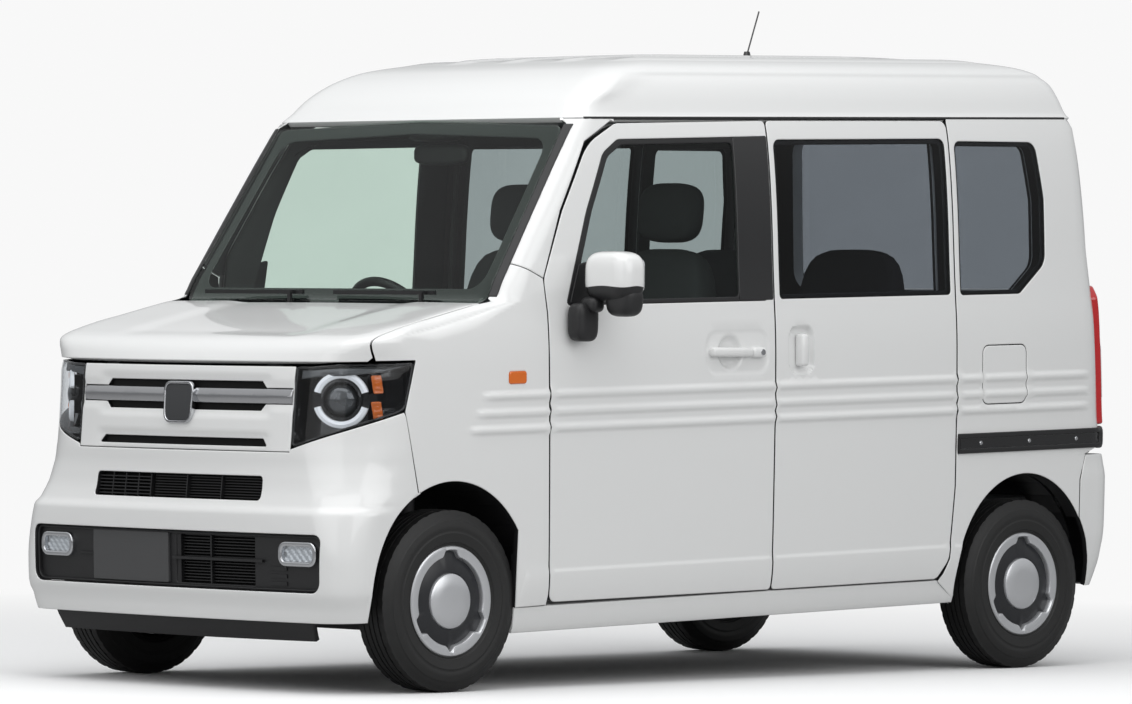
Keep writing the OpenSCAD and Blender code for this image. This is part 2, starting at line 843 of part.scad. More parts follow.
// Rim, disc, hub and domed cover in one turned profile
module wheel() {
    r = rim_dia / 2;
    color([0.7, 0.71, 0.72])
        rotate([0, 90, 0])
            rotate_extrude($fn = 96)
                polygon([[spindle_r + running_gap, -24], [34, -24], [34, 22], [r - 9, 30],
                         [r - 9, -tyre_width / 2 + 12], [r + 6, -tyre_width / 2 + 8],
                         [r + 6, -tyre_width / 2 + 11.7], [r, -tyre_width / 2 + 12],
                         [r, tyre_width / 2 - 12], [r + 6, tyre_width / 2 - 11.7],
                         [r + 6, tyre_width / 2 - 5], [r - 25, tyre_width / 2 - 2],
                         [82, tyre_width / 2 - 6], [60, tyre_width / 2 - 4], [0, tyre_width / 2 - 4],
                         [0, tyre_width / 2 - 10], [60, tyre_width / 2 - 12], [r - 12, 42],
                         [spindle_r + running_gap, 34]]);
}
module at_wheel(side, y) {
    translate([0, y, wheel_z])
        mirror([side < 0 ? 1 : 0, 0, 0])
            translate([wheel_x, 0, 0])
                children();
}

// ---- cabin -------------------------------------------------------------------------------
seat_x = seat_gap / 2 + seat_w / 2;
column_y = y_gap - 600;                 // hub of the steering wheel
column_z = 1077;
column_tilt = 32;                       // rise of the column towards the driver
module front_seats() {
    color([0.12, 0.12, 0.13])
        both_sides() {
            side_prism(seat_x - seat_w / 2, seat_x + seat_w / 2)
                side_outline([
                    [y_gap - 580, cabin_floor + rest_gap, 0], [y_gap - 590, 640, 30],
                    [y_gap - 610, 715, 40], [y_gap - 230, 690, 60], [y_gap - 120, 1320, 50],
                    [y_gap - 10, 1320, 40], [y_gap - 120, 660, 60], [y_step - 6, 520, 0],
                    [y_step - 6, cabin_floor + rest_gap, 0]]);
            side_prism(seat_x - 125, seat_x + 125)
                side_outline([
                    [y_gap - 110, 1320 + rest_gap, 4], [y_gap - 100, 1510, 40],
                    [y_gap - 10, 1530, 40], [y_gap - 16, 1320 + rest_gap, 4]]);
        }
}
module rear_seats() {
    color([0.12, 0.12, 0.13])
        both_sides()
            side_prism(60, 60 + seat_w - 20)
                side_outline([
                    [y_gap + 380, load_floor + rest_gap, 0], [y_gap + 360, 790, 40],
                    [y_gap + 740, 770, 50], [y_gap + 780, 1330, 40], [y_gap + 880, 1330, 40],
                    [y_gap + 850, load_floor + rest_gap, 0]]);
}
module dashboard() {
    color([0.1, 0.1, 0.11]) {
        stance_beam(-half_w + lining + 14, half_w - lining - 14, [
            [y_cowl + 130 + rest_gap, 760, 0], [y_cowl + 130 + rest_gap, 1130, 0],
            [y_cowl + 150, 1130, 0], [y_cowl + 380, 1120, 50], [y_cowl + 400, 900, 60],
            [y_cowl + 260, 760, 40]]);
        // Column, ending in the shaft that the wheel turns on
        translate([-seat_x, column_y, column_z + rake * column_y])
            rotate([90 + column_tilt, 0, 0])
                translate([0, 0, 14]) {
                    cylinder(r = 30, h = 310, $fn = 32);
                    translate([0, 0, -24])
                        cylinder(r = 10, h = 40, $fn = 32);
                }
    }
}
module steering_wheel() {
    r = steering_wheel_dia / 2;
    color([0.08, 0.08, 0.085])
        translate([-seat_x, column_y, column_z + rake * column_y])
            rotate([90 + column_tilt, 0, 0])
                difference() {
                    union() {
                        rotate_extrude($fn = 72)
                            translate([r - 15, 0])
                                circle(r = 15, $fn = 24);
                        translate([0, 0, -14])
                            cylinder(r = 62, h = 27, $fn = 48);
                        for (a = [10, 170, 270])
                            rotate([0, 0, a])
                                translate([50, -18, -7])
                                    cube([r - 65, 36, 14]);
                    }
                    translate([0, 0, -10.3])
                        cylinder(r = 10 + running_gap, h = 40, $fn = 48);
                }
}

// Face of the windscreen at a height near its foot
function screen_y(z) = y_front + 631 + (z - 1181) * 39 / 56;

// ---- small outside pieces -------------------------------------------------------------------
// Mirror head and the foot that carries it on the door
module door_mirror() {
    foot_y = y_hinge + 116;
    color(black) {
        difference() {
            translate([half_w - 20, foot_y - 45, 1030])
                cube([70, 90, 100]);
            body_form(-rest_gap);
        }
        translate([half_w + 20, foot_y - 5, 1106])
            cube([187, 100, 196]);
    }
}
module windscreen_wipers() {
    blade_t = 12;
    blade_z = 1200;
    blade_y = screen_y(blade_z) - blade_t / 2 - 3;
    lift = rake * blade_y;
    spindle_z = cowl_top + rest_gap;
    color(black)
        for (x = [-560, 20]) {
            translate([x, blade_y - blade_t / 2, blade_z - blade_t / 2 + lift])
                cube([440, blade_t, blade_t]);
            // Arm, and the spindle that stands on the cowl tray
            translate([x + 391, blade_y - 20, blade_z - 5 + lift])
                cube([18, 20, 10]);
            translate([x + 394, blade_y - 24, spindle_z + lift])
                cube([12, 10, blade_z - spindle_z]);
        }
}
module antenna() {
    base_y = y_rear - 952;
    seat_z = roof_height - 1.4 + rake * (base_y + 14) + rest_gap;
    color(black) {
        translate([0, base_y, seat_z])
            cylinder(r1 = 14, r2 = 9, h = 20, $fn = 32);
        translate([0, base_y, seat_z + 10])
            rotate([-21, 0, 0])
                cylinder(r = 2.5, h = 150, $fn = 24);
    }
}

floor_pan();
front_frame();
side_panel(true);  // side_panel_left
mirror([1, 0, 0]) side_panel(false);  // side_panel_right
roof_panel();
front_fenders();
front_bumper();
air_dam();
bumper_insert();
front_grille();
headlamps();
fog_lamps();
rear_bumper();
tail_lamps();
windscreen();
quarter_glass();
windscreen_wipers();
sliding_door();  // sliding_door_left
mirror([1, 0, 0]) sliding_door();  // sliding_door_right
sliding_door_glass();
slide_rails();
antenna();
dashboard();
front_seats();
rear_seats();
engine();
fuel_tank();
exhaust();
wheel_liners();
front_suspension();
rear_axle();
bonnet();
tailgate();
tailgate_glass();
front_door();  // front_door_left
mirror([1, 0, 0]) front_door();  // front_door_right
pane(FRONT_WINDOW, 4);  // door_glass_left
mirror([1, 0, 0]) pane(FRONT_WINDOW, 4);  // door_glass_right
door_mirror();  // mirror_left
mirror([1, 0, 0]) door_mirror();  // mirror_right
fuel_flap();
steering_wheel();
knuckle();  // knuckle_left
mirror([1, 0, 0]) knuckle();  // knuckle_right
at_wheel(1, y_axle_f) tyre();  // tyre_front_left
at_wheel(-1, y_axle_f) tyre();  // tyre_front_right
at_wheel(1, y_axle_r) tyre();  // tyre_rear_left
at_wheel(-1, y_axle_r) tyre();  // tyre_rear_right
at_wheel(1, y_axle_f) wheel();  // wheel_front_left
at_wheel(-1, y_axle_f) wheel();  // wheel_front_right
at_wheel(1, y_axle_r) wheel();  // wheel_rear_left
at_wheel(-1, y_axle_r) wheel();  // wheel_rear_right
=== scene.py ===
import json
import math

import bmesh
import bpy
import numpy as np
from bpy.props import FloatProperty, FloatVectorProperty, PointerProperty
from mathutils import Matrix, Vector
from mathutils.geometry import delaunay_2d_cdt

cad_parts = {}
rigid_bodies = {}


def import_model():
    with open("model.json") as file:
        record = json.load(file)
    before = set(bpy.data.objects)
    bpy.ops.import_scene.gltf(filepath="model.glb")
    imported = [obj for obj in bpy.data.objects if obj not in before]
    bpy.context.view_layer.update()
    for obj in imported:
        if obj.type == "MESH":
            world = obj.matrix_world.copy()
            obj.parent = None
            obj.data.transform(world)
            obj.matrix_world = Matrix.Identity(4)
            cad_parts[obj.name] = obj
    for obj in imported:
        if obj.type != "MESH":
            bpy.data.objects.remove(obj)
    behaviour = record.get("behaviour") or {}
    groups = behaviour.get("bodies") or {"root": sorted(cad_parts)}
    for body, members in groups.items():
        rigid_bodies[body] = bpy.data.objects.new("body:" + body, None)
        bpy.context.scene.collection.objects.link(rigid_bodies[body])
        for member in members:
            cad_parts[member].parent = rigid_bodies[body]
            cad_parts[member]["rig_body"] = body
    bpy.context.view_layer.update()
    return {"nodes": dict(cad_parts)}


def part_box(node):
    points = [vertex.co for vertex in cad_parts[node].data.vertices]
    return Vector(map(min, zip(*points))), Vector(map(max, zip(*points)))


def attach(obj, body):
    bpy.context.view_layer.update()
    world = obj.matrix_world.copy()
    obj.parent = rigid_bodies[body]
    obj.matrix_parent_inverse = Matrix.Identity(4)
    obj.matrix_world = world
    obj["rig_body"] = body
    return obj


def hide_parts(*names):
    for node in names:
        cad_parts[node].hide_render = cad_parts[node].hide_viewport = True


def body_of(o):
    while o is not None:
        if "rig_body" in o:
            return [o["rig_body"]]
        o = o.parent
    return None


bl_info = {
    "name": "Kei Van Finish",
    "version": (1, 0, 0),
    "blender": (4, 5, 0),
    "location": "View3D > Sidebar > Kei Van",
    "description": "Builds the painted panels, glass, lamps, wheels and cabin of a kei van",
    "category": "Add Mesh",
}

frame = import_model()

MM = 0.001


def node_box(name):
    """Lowest and highest corners of a CAD node, in millimetres."""
    low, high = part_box(name)
    return low / MM, high / MM


def node_centre(name):
    low, high = node_box(name)
    return (low + high) / 2


# ---- stations of the car, taken from the frame ---------------------------------
NOSE = node_box("front_bumper")[0].y
TAIL = node_box("rear_bumper")[1].y
HALF_W = node_box("front_door_left")[1].x
AXLE_F = node_centre("tyre_front_left").y
AXLE_R = node_centre("tyre_rear_left").y
WHEEL_X = node_centre("tyre_front_left").x
WHEEL_Z = node_centre("tyre_front_left").z
TYRE_R = (node_box("tyre_front_left")[1].z - node_box("tyre_front_left")[0].z) / 2
# Front edge of the front door, gap between the doors, rear edge of the sliding door
HINGE = AXLE_F + 372
DOOR_GAP = AXLE_F + 1354
SLIDE_END = AXLE_R - 341
COWL = AXLE_F + 114
# Handles of the front and sliding doors: middle of the hand's dish
HANDLE_Y = DOOR_GAP - 197.5
SLIDE_HANDLE_Y = DOOR_GAP + 115.5
HANDLE_Z = 1004
# The body stands nose down: each millimetre back is this much higher
RAKE = 0.025
# Heights of the window sills and of the roof's gutter
BELT = 1152
GUTTER = 1718
# Half width and height of the wheel openings, from the wheel's centre
ARCH_A = 322
ARCH_B = 352
DOOR_T = 55
# A point well inside the body, which tells outwards from inwards
MIDDLE = np.array([0, 120.0, 900.0])

# Each level of the outer form: height, setback of the nose, setback of the tail,
# nose corner radius, tail corner radius, bow of the nose
LEVELS = np.array([
    [186, 36, 48, 110, 50, 26], [245, 14, 26, 90, 50, 24], [330, 6, 4, 80, 50, 22],
    [420, 2, 0, 85, 45, 22], [510, 0, 0, 110, 45, 22], [566, 1, 0, 130, 45, 23],
    [600, 9, 5, 150, 45, 24], [680, 17, 22, 190, 55, 26], [760, 24, 34, 215, 60, 29],
    [880, 32, 40, 212, 60, 31], [990, 42, 46, 200, 60, 32], [1008, 50, 48, 190, 60, 31],
    [1045, 72, 50, 150, 60, 26], [1070, 107, 52, 115, 60, 20], [1096, 196, 54, 95, 60, 18],
    [1138, 396, 60, 82, 60, 16], [1165, 537, 63, 80, 60, 12], [1181, 631, 65, 80, 60, 9],
    [1237, 670, 71, 80, 60, 8], [1437, 808, 88, 75, 60, 8], [1633, 943, 104, 70, 60, 6],
    [1715, 1000, 114, 70, 60, 4], [1745, 1030, 128, 80, 60, 6], [1785, 1067, 136, 88, 70, 8],
    [1826, 1125, 147, 90, 80, 10], [1852, 1177, 170, 90, 90, 10],
    [1875, 1243, 212, 90, 100, 10], [1893, 1347, 290, 90, 110, 10],
    [1905, 1440, 420, 90, 110, 8], [1913, 1590, 600, 80, 90, 6],
    [1918, 1760, 820, 70, 70, 4], [1921, 1960, 1040, 40, 40, 2],
], float)
# Height and inset of the side wall
SIDE = np.array([
    [186, 42], [215, 30], [245, 24], [330, 10], [420, 6], [600, 3], [760, 1], [880, 0],
    [990, 0.5], [1070, 3], [1150, 8.5], [1237, 14], [1437, 25], [1633, 44], [1718, 61],
    [1745, 70], [1785, 83], [1826, 103], [1852, 125], [1875, 158], [1893, 216],
    [1905, 300], [1913, 420], [1918, 540], [1921, 650],
], float)


class Curve1D:
    """Smooth curve through points that never overshoots them."""

    def __init__(self, x, y):
        self.x, self.y = np.asarray(x, float), np.asarray(y, float)
        h = np.diff(self.x)
        d = np.diff(self.y) / h
        m = np.zeros_like(self.y)
        same = d[:-1] * d[1:] > 0
        w1, w2 = 2 * h[1:] + h[:-1], h[1:] + 2 * h[:-1]
        safe = np.where(same, d[:-1] * d[1:], 1)
        m[1:-1] = np.where(same, (w1 + w2) * safe / (w1 * d[1:] + w2 * d[:-1] + 1e-30), 0)
        m[0], m[-1] = d[0], d[-1]
        self.m = m

    def __call__(self, v):
        v = np.asarray(v, float)
        i = np.clip(np.searchsorted(self.x, v) - 1, 0, len(self.x) - 2)
        h = self.x[i + 1] - self.x[i]
        t = np.clip((v - self.x[i]) / h, 0, 1)
        a, b = self.y[i], self.y[i + 1]
        p, q = self.m[i] * h, self.m[i + 1] * h
        return ((2 * t**3 - 3 * t**2 + 1) * a + (t**3 - 2 * t**2 + t) * p
                + (-2 * t**3 + 3 * t**2) * b + (t**3 - t**2) * q)


def _run_lengths():
    """Length along the profile from the lowest level to each level."""
    step = np.diff(LEVELS, axis=0)
    side = np.diff(np.interp(LEVELS[:, 0], SIDE[:, 0], SIDE[:, 1]))
    reach = np.maximum.reduce([np.abs(step[:, 1]), np.abs(step[:, 2]), np.abs(side)])
    return np.concatenate([[0], np.cumsum(np.hypot(step[:, 0], reach))])


RUN = _run_lengths()
LEVEL_CURVES = [Curve1D(RUN, LEVELS[:, i]) for i in range(6)]
SIDE_CURVE = Curve1D(SIDE[:, 0], SIDE[:, 1])
FINE_RUN = np.linspace(0, RUN[-1], 6000)
FINE_Z = LEVEL_CURVES[0](FINE_RUN)


def run_of_z(z):
    """Profile length at a height above the body datum."""
    return np.interp(z, FINE_Z, FINE_RUN)


def smooth(lo, hi, v):
    """0 at lo, 1 at hi, with an even start and end."""
    t = np.clip((np.asarray(v, float) - lo) / (hi - lo), 0, 1)
    return t * t * (3 - 2 * t)


def draw_in(y):
    """How much the side wall closes in towards the nose and the tail."""
    nose = np.maximum(0, AXLE_F + 334 - y) / 700
    tail = np.maximum(0, y - AXLE_R + 86) / 450
    return 12 * nose**2 + 8 * tail**2


def level(run):
    """Everything that shapes one level's outline."""
    z, nose, tail, rf, rr, bow = [c(run) for c in LEVEL_CURVES]
    w = HALF_W - SIDE_CURVE(z)
    y0 = NOSE + nose + bow
    l1 = w - rf
    turn = np.arctan2(2 * bow, l1)
    r = rf / (1 - np.sin(turn))
    side_start = y0 + r * np.cos(turn)
    l2 = l1 + r * (math.pi / 2 - turn)
    yr = TAIL - tail
    side_end = yr - rr
    l3 = l2 + side_end - side_start
    l4 = l3 + rr * math.pi / 2
    return dict(z=z, w=w, bow=bow, yf=NOSE + nose, y0=y0, l1=l1, turn=turn, r=r,
                side_start=side_start, l2=l2, yr=yr, rr=rr, side_end=side_end, l3=l3, l4=l4)


def ring_xy(g, a):
    """Point on a level's outline at the length a from the nose centre."""
    s, a = np.sign(a), np.abs(a)
    front = g["turn"] + (a - g["l1"]) / g["r"]
    back = (a - g["l3"]) / g["rr"]
    x = np.where(a < g["l1"], a, g["l1"] + g["r"] * (np.sin(front) - np.sin(g["turn"])))
    y = np.where(a < g["l1"], g["yf"] + g["bow"] * (a / g["l1"])**2,
                 g["side_start"] - g["r"] * np.cos(front))
    side = (a >= g["l2"]) & (a < g["l3"])
    x, y = np.where(side, g["w"], x), np.where(side, g["side_start"] + a - g["l2"], y)
    turn = (a >= g["l3"]) & (a < g["l4"])
    x = np.where(turn, g["w"] - g["rr"] + g["rr"] * np.cos(back), x)
    y = np.where(turn, g["side_end"] + g["rr"] * np.sin(back), y)
    end = a >= g["l4"]
    x, y = np.where(end, g["w"] - g["rr"] - (a - g["l4"]), x), np.where(end, g["yr"], y)
    return x * s * (1 - draw_in(y) / HALF_W), y


def length_at_y(g, y):
    """Length along the outline where its side has the station y."""
    c = np.clip(np.cos(g["turn"]) - (y - g["y0"]) / g["r"], 0, 1)
    front = g["l1"] + g["r"] * (np.arccos(c) - g["turn"])
    side = g["l2"] + y - g["side_start"]
    back = g["l3"] + g["rr"] * np.arcsin(np.clip((y - g["side_end"]) / g["rr"], 0, 1))
    return np.where(y < g["side_start"], front, np.where(y > g["side_end"], back, side))


def length_at_x(g, x, tail=False):
    """Length along the outline where its nose, or tail, has the offset x."""
    s, x = np.where(np.asarray(x) < 0, -1.0, 1.0), np.abs(x)
    y = g["yr"] if tail else g["y0"]
    for _ in range(3):
        u = x / (1 - draw_in(y) / HALF_W)
        if tail:
            c = np.clip((u - g["w"] + g["rr"]) / g["rr"], 0, 1)
            a = np.where(u > g["w"] - g["rr"], g["l3"] + g["rr"] * np.arccos(c),
                         g["l4"] + g["w"] - g["rr"] - u)
        else:
            c = np.clip(np.sin(g["turn"]) + (u - g["l1"]) / g["r"], 0, 1)
            a = np.where(u < g["l1"], u, g["l1"] + g["r"] * (np.arcsin(c) - g["turn"]))
        y = ring_xy(g, a)[1]
    return a * s


# Height of the bonnet's side edge at each station, for the rounded shoulder
_EDGE = level(FINE_RUN)
_EDGE_ON = FINE_Z > 1072


def shoulder(x, y, z, g):
    """Rounds the edge between the side wall and the bonnet's top."""
    radius = 52 * smooth(NOSE + 235, NOSE + 400, y) * (1 - smooth(COWL - 60, HINGE - 60, y))
    edge = np.interp(y, _EDGE["side_start"][_EDGE_ON], FINE_Z[_EDGE_ON])
    w = g["w"] * (1 - draw_in(y) / HALF_W)
    on_top = np.abs(x) < w - 0.01
    down = np.where(on_top, w - np.abs(x), edge - z)
    use = (radius > 1) & (down < radius) & (down > -8) & (z > 1050)
    down = np.maximum(down, 0)
    safe = np.maximum(radius, 1)
    phi = np.where(on_top, 45 + 45 * down / safe, 45 - 45 * down / safe) * math.pi / 180
    top = np.where(on_top, z, edge)
    nx = np.sign(x) * (w - radius + radius * np.cos(phi))
    nz = top - radius + radius * np.sin(phi)
    return np.where(use, nx, x), np.where(use, nz, z)


def form(run, a):
    """Outer surface of the body, in millimetres."""
    g = level(run)
    x, y = ring_xy(g, a)
    x, z = shoulder(x, y, g["z"] + 0 * x, g)
    return np.stack([x, y, z + RAKE * y], -1)


# ---- ways of placing a flat outline on the body ---------------------------------------
def on_wall(uv):
    """u is the length round the level from the nose centre, v the height."""
    return form(run_of_z(uv[:, 1]), uv[:, 0])


def on_side(uv):
    """u is the station along the left side, v the height."""
    run = run_of_z(uv[:, 1])
    return form(run, length_at_y(level(run), uv[:, 0]))


def on_nose(uv):
    """u is the offset from the centre of the nose, v the height."""
    run = run_of_z(uv[:, 1])
    return form(run, length_at_x(level(run), uv[:, 0]))


def on_tail(uv):
    """u is the offset from the centre of the tail, v the height."""
    run = run_of_z(uv[:, 1])
    g = level(run)
    return form(run, length_at_x(g, uv[:, 0], tail=True))


def on_deck(uv):
    """u is the offset from the centre, v the profile length."""
    return form(uv[:, 1], length_at_x(level(uv[:, 1]), uv[:, 0]))


def on_flank(uv):
    """u is the station on the straight side and the length round the corners beyond it."""
    run = run_of_z(uv[:, 1])
    g = level(run)
    return form(run, uv[:, 0] + g["l2"] - g["side_start"])


def on_flank_run(uv):
    """As on_flank, with the profile length as v."""
    g = level(uv[:, 1])
    return form(uv[:, 1], uv[:, 0] + g["l2"] - g["side_start"])


def flank(points):
    """on_wall points as points of on_flank."""
    p = np.asarray(points, float)
    g = level(run_of_z(p[:, 1]))
    return np.stack([p[:, 0] - g["l2"] + g["side_start"], p[:, 1]], -1)


def from_side(points):
    """Side-view points as points of on_wall."""
    p = np.asarray(points, float)
    return np.stack([length_at_y(level(run_of_z(p[:, 1])), p[:, 0]), p[:, 1]], -1)


def from_nose(points, tail=False):
    """Front-view, or rear-view, points as points of on_wall."""
    p = np.asarray(points, float)
    return np.stack([length_at_x(level(run_of_z(p[:, 1])), p[:, 0], tail), p[:, 1]], -1)


# ---- outlines ---------------------------------------------------------------------------
def fillet(a, b, c, radius, count):
    """Points of an arc that rounds the corner b between a and c."""
    u, v = a - b, c - b
    lu, lv = np.linalg.norm(u), np.linalg.norm(v)
    u, v = u / lu, v / lv
    half = math.acos(max(-1, min(1, float(u @ v)))) / 2
    if radius <= 0 or half > math.pi / 2 - 0.01:
        return [b]
    d = min(radius / math.tan(half), 0.49 * lu, 0.49 * lv)
    radius = d * math.tan(half)
    m = b + (u + v) / np.linalg.norm(u + v) * radius / math.sin(half)
    s, e = b + u * d - m, b + v * d - m
    a0, a1 = math.atan2(s[1], s[0]), math.atan2(e[1], e[0])
    turn = (a1 - a0 + 3 * math.pi) % (2 * math.pi) - math.pi
    return [m + radius * np.array([math.cos(a0 + turn * k / count), math.sin(a0 + turn * k / count)])
            for k in range(count + 1)]


def oblong(u0, u1, v0, v1, radius):
    """Corners of an upright rectangle, for outline."""
    return [(u0, v0, radius), (u1, v0, radius), (u1, v1, radius), (u0, v1, radius)]


def outline(corners, step=16.0):
    """Closed line through corners (u, v, radius), with points no further apart than step."""
    p = [np.array(c[:2], float) for c in corners]
    n, line = len(p), []
    for i, c in enumerate(corners):
        radius = c[2] if len(c) > 2 else 0
        line += fillet(p[i - 1], p[i], p[(i + 1) % n], radius, max(3, int(radius / 5)))
    return spaced(line, step)


def spaced(line, step, closed=True):
    """A line with points no further apart than step."""
    line = [np.asarray(q, float) for q in line]
    out = []
    last = len(line) if closed else len(line) - 1
    for i in range(last):
        a, b = line[i], line[(i + 1) % len(line)]
        d = np.linalg.norm(b - a)
        if d < 0.3:
            continue
        k = max(1, math.ceil(d / step))
        out += [a + (b - a) * j / k for j in range(k)]
    if not closed:
        out.append(line[-1])
    return np.array(out)


def signed_area(loop):
    """Area of a loop, positive where it runs counter-clockwise."""
    x, y = loop[:, 0], loop[:, 1]
    return 0.5 * float(np.sum(x * np.roll(y, -1) - np.roll(x, -1) * y))


def inset(loop, d):
    """Moves a counter-clockwise loop inwards by d, keeping its points."""
    before, after = loop - np.roll(loop, 1, 0), np.roll(loop, -1, 0) - loop
    before /= np.linalg.norm(before, axis=1)[:, None] + 1e-9
    after /= np.linalg.norm(after, axis=1)[:, None] + 1e-9
    n1, n2 = np.stack([-before[:, 1], before[:, 0]], 1), np.stack([-after[:, 1], after[:, 0]], 1)
    n = n1 + n2
    n /= np.linalg.norm(n, axis=1)[:, None] + 1e-9
    return loop + n * d / np.maximum(0.5, (n * n1).sum(1))[:, None]


def inside(points, loops):
    """Even-odd test of points against closed loops."""
    hit = np.zeros(len(points), bool)
    px, py = points[:, 0][:, None], points[:, 1][:, None]
    for loop in loops:
        x0, y0 = loop[:, 0][None], loop[:, 1][None]
        x1, y1 = np.roll(loop[:, 0], -1)[None], np.roll(loop[:, 1], -1)[None]
        cross = ((y0 > py) != (y1 > py)) & (
            px < (x1 - x0) * (py - y0) / np.where(y1 == y0, 1e-12, y1 - y0) + x0)
        hit ^= (cross.sum(1) % 2 == 1)
    return hit


def clearance(points, loops):
    """Distance of each point to the nearest loop."""
    best = np.full(len(points), 1e9)
    for loop in loops:
        a, b = loop, np.roll(loop, -1, 0)
        ab = b - a
        t = np.clip(((points[:, None] - a) * ab).sum(2) / ((ab * ab).sum(1) + 1e-12), 0, 1)
        best = np.minimum(best, np.linalg.norm(points[:, None] - a - ab * t[..., None], axis=2).min(1))
    return best


def grid_lines(lo, hi, step, dense):
    """Lines at a step, with closer ones in the dense ranges (from, to, step)."""
    lines = list(np.arange(lo + step / 2, hi, step))
    for a, b, s in dense:
        lines = [v for v in lines if not a - s <= v <= b + s]
        lines += list(np.arange(max(a, lo), min(b, hi) + 0.01, s))
    return np.array(sorted(lines))


# ---- meshes --------------------------------------------------------------------------------
def make_mesh(name, points, faces, materials, face_material=None, angle=50, flat=False):
    """New object from points in millimetres."""
    mesh = bpy.data.meshes.new(name)
    mesh.from_pydata([tuple(p) for p in np.asarray(points, float) * MM], [], faces)
    for m in materials if isinstance(materials, (list, tuple)) else [materials]:
        mesh.materials.append(m)
    if face_material is not None:
        mesh.polygons.foreach_set("material_index", np.asarray(face_material, np.int32))
    if not flat:
        mesh.polygons.foreach_set("use_smooth", np.ones(len(mesh.polygons), bool))
        mesh.update()
        mesh.set_sharp_from_angle(angle=math.radians(angle))
    mesh.validate()
    mesh.update()
    o = bpy.data.objects.new(name, mesh)
    bpy.context.scene.collection.objects.link(o)
    return o


def surface_normals(place, uv, points):
    """Outward normals of the surface that place gives."""
    h = 0.5
    du = place(uv + [h, 0]) - place(uv - [h, 0])
    dv = place(uv + [0, h]) - place(uv - [0, h])
    n = np.cross(du, dv)
    n /= np.linalg.norm(n, axis=1)[:, None] + 1e-9
    out = points - MIDDLE
    out[:, 1] *= 0.45
    return n * np.where((n * out).sum(1) < 0, -1.0, 1.0)[:, None]


# Width of the band of skin between a panel's rounded edge and its grid
EDGE_SUPPORT = 2.6


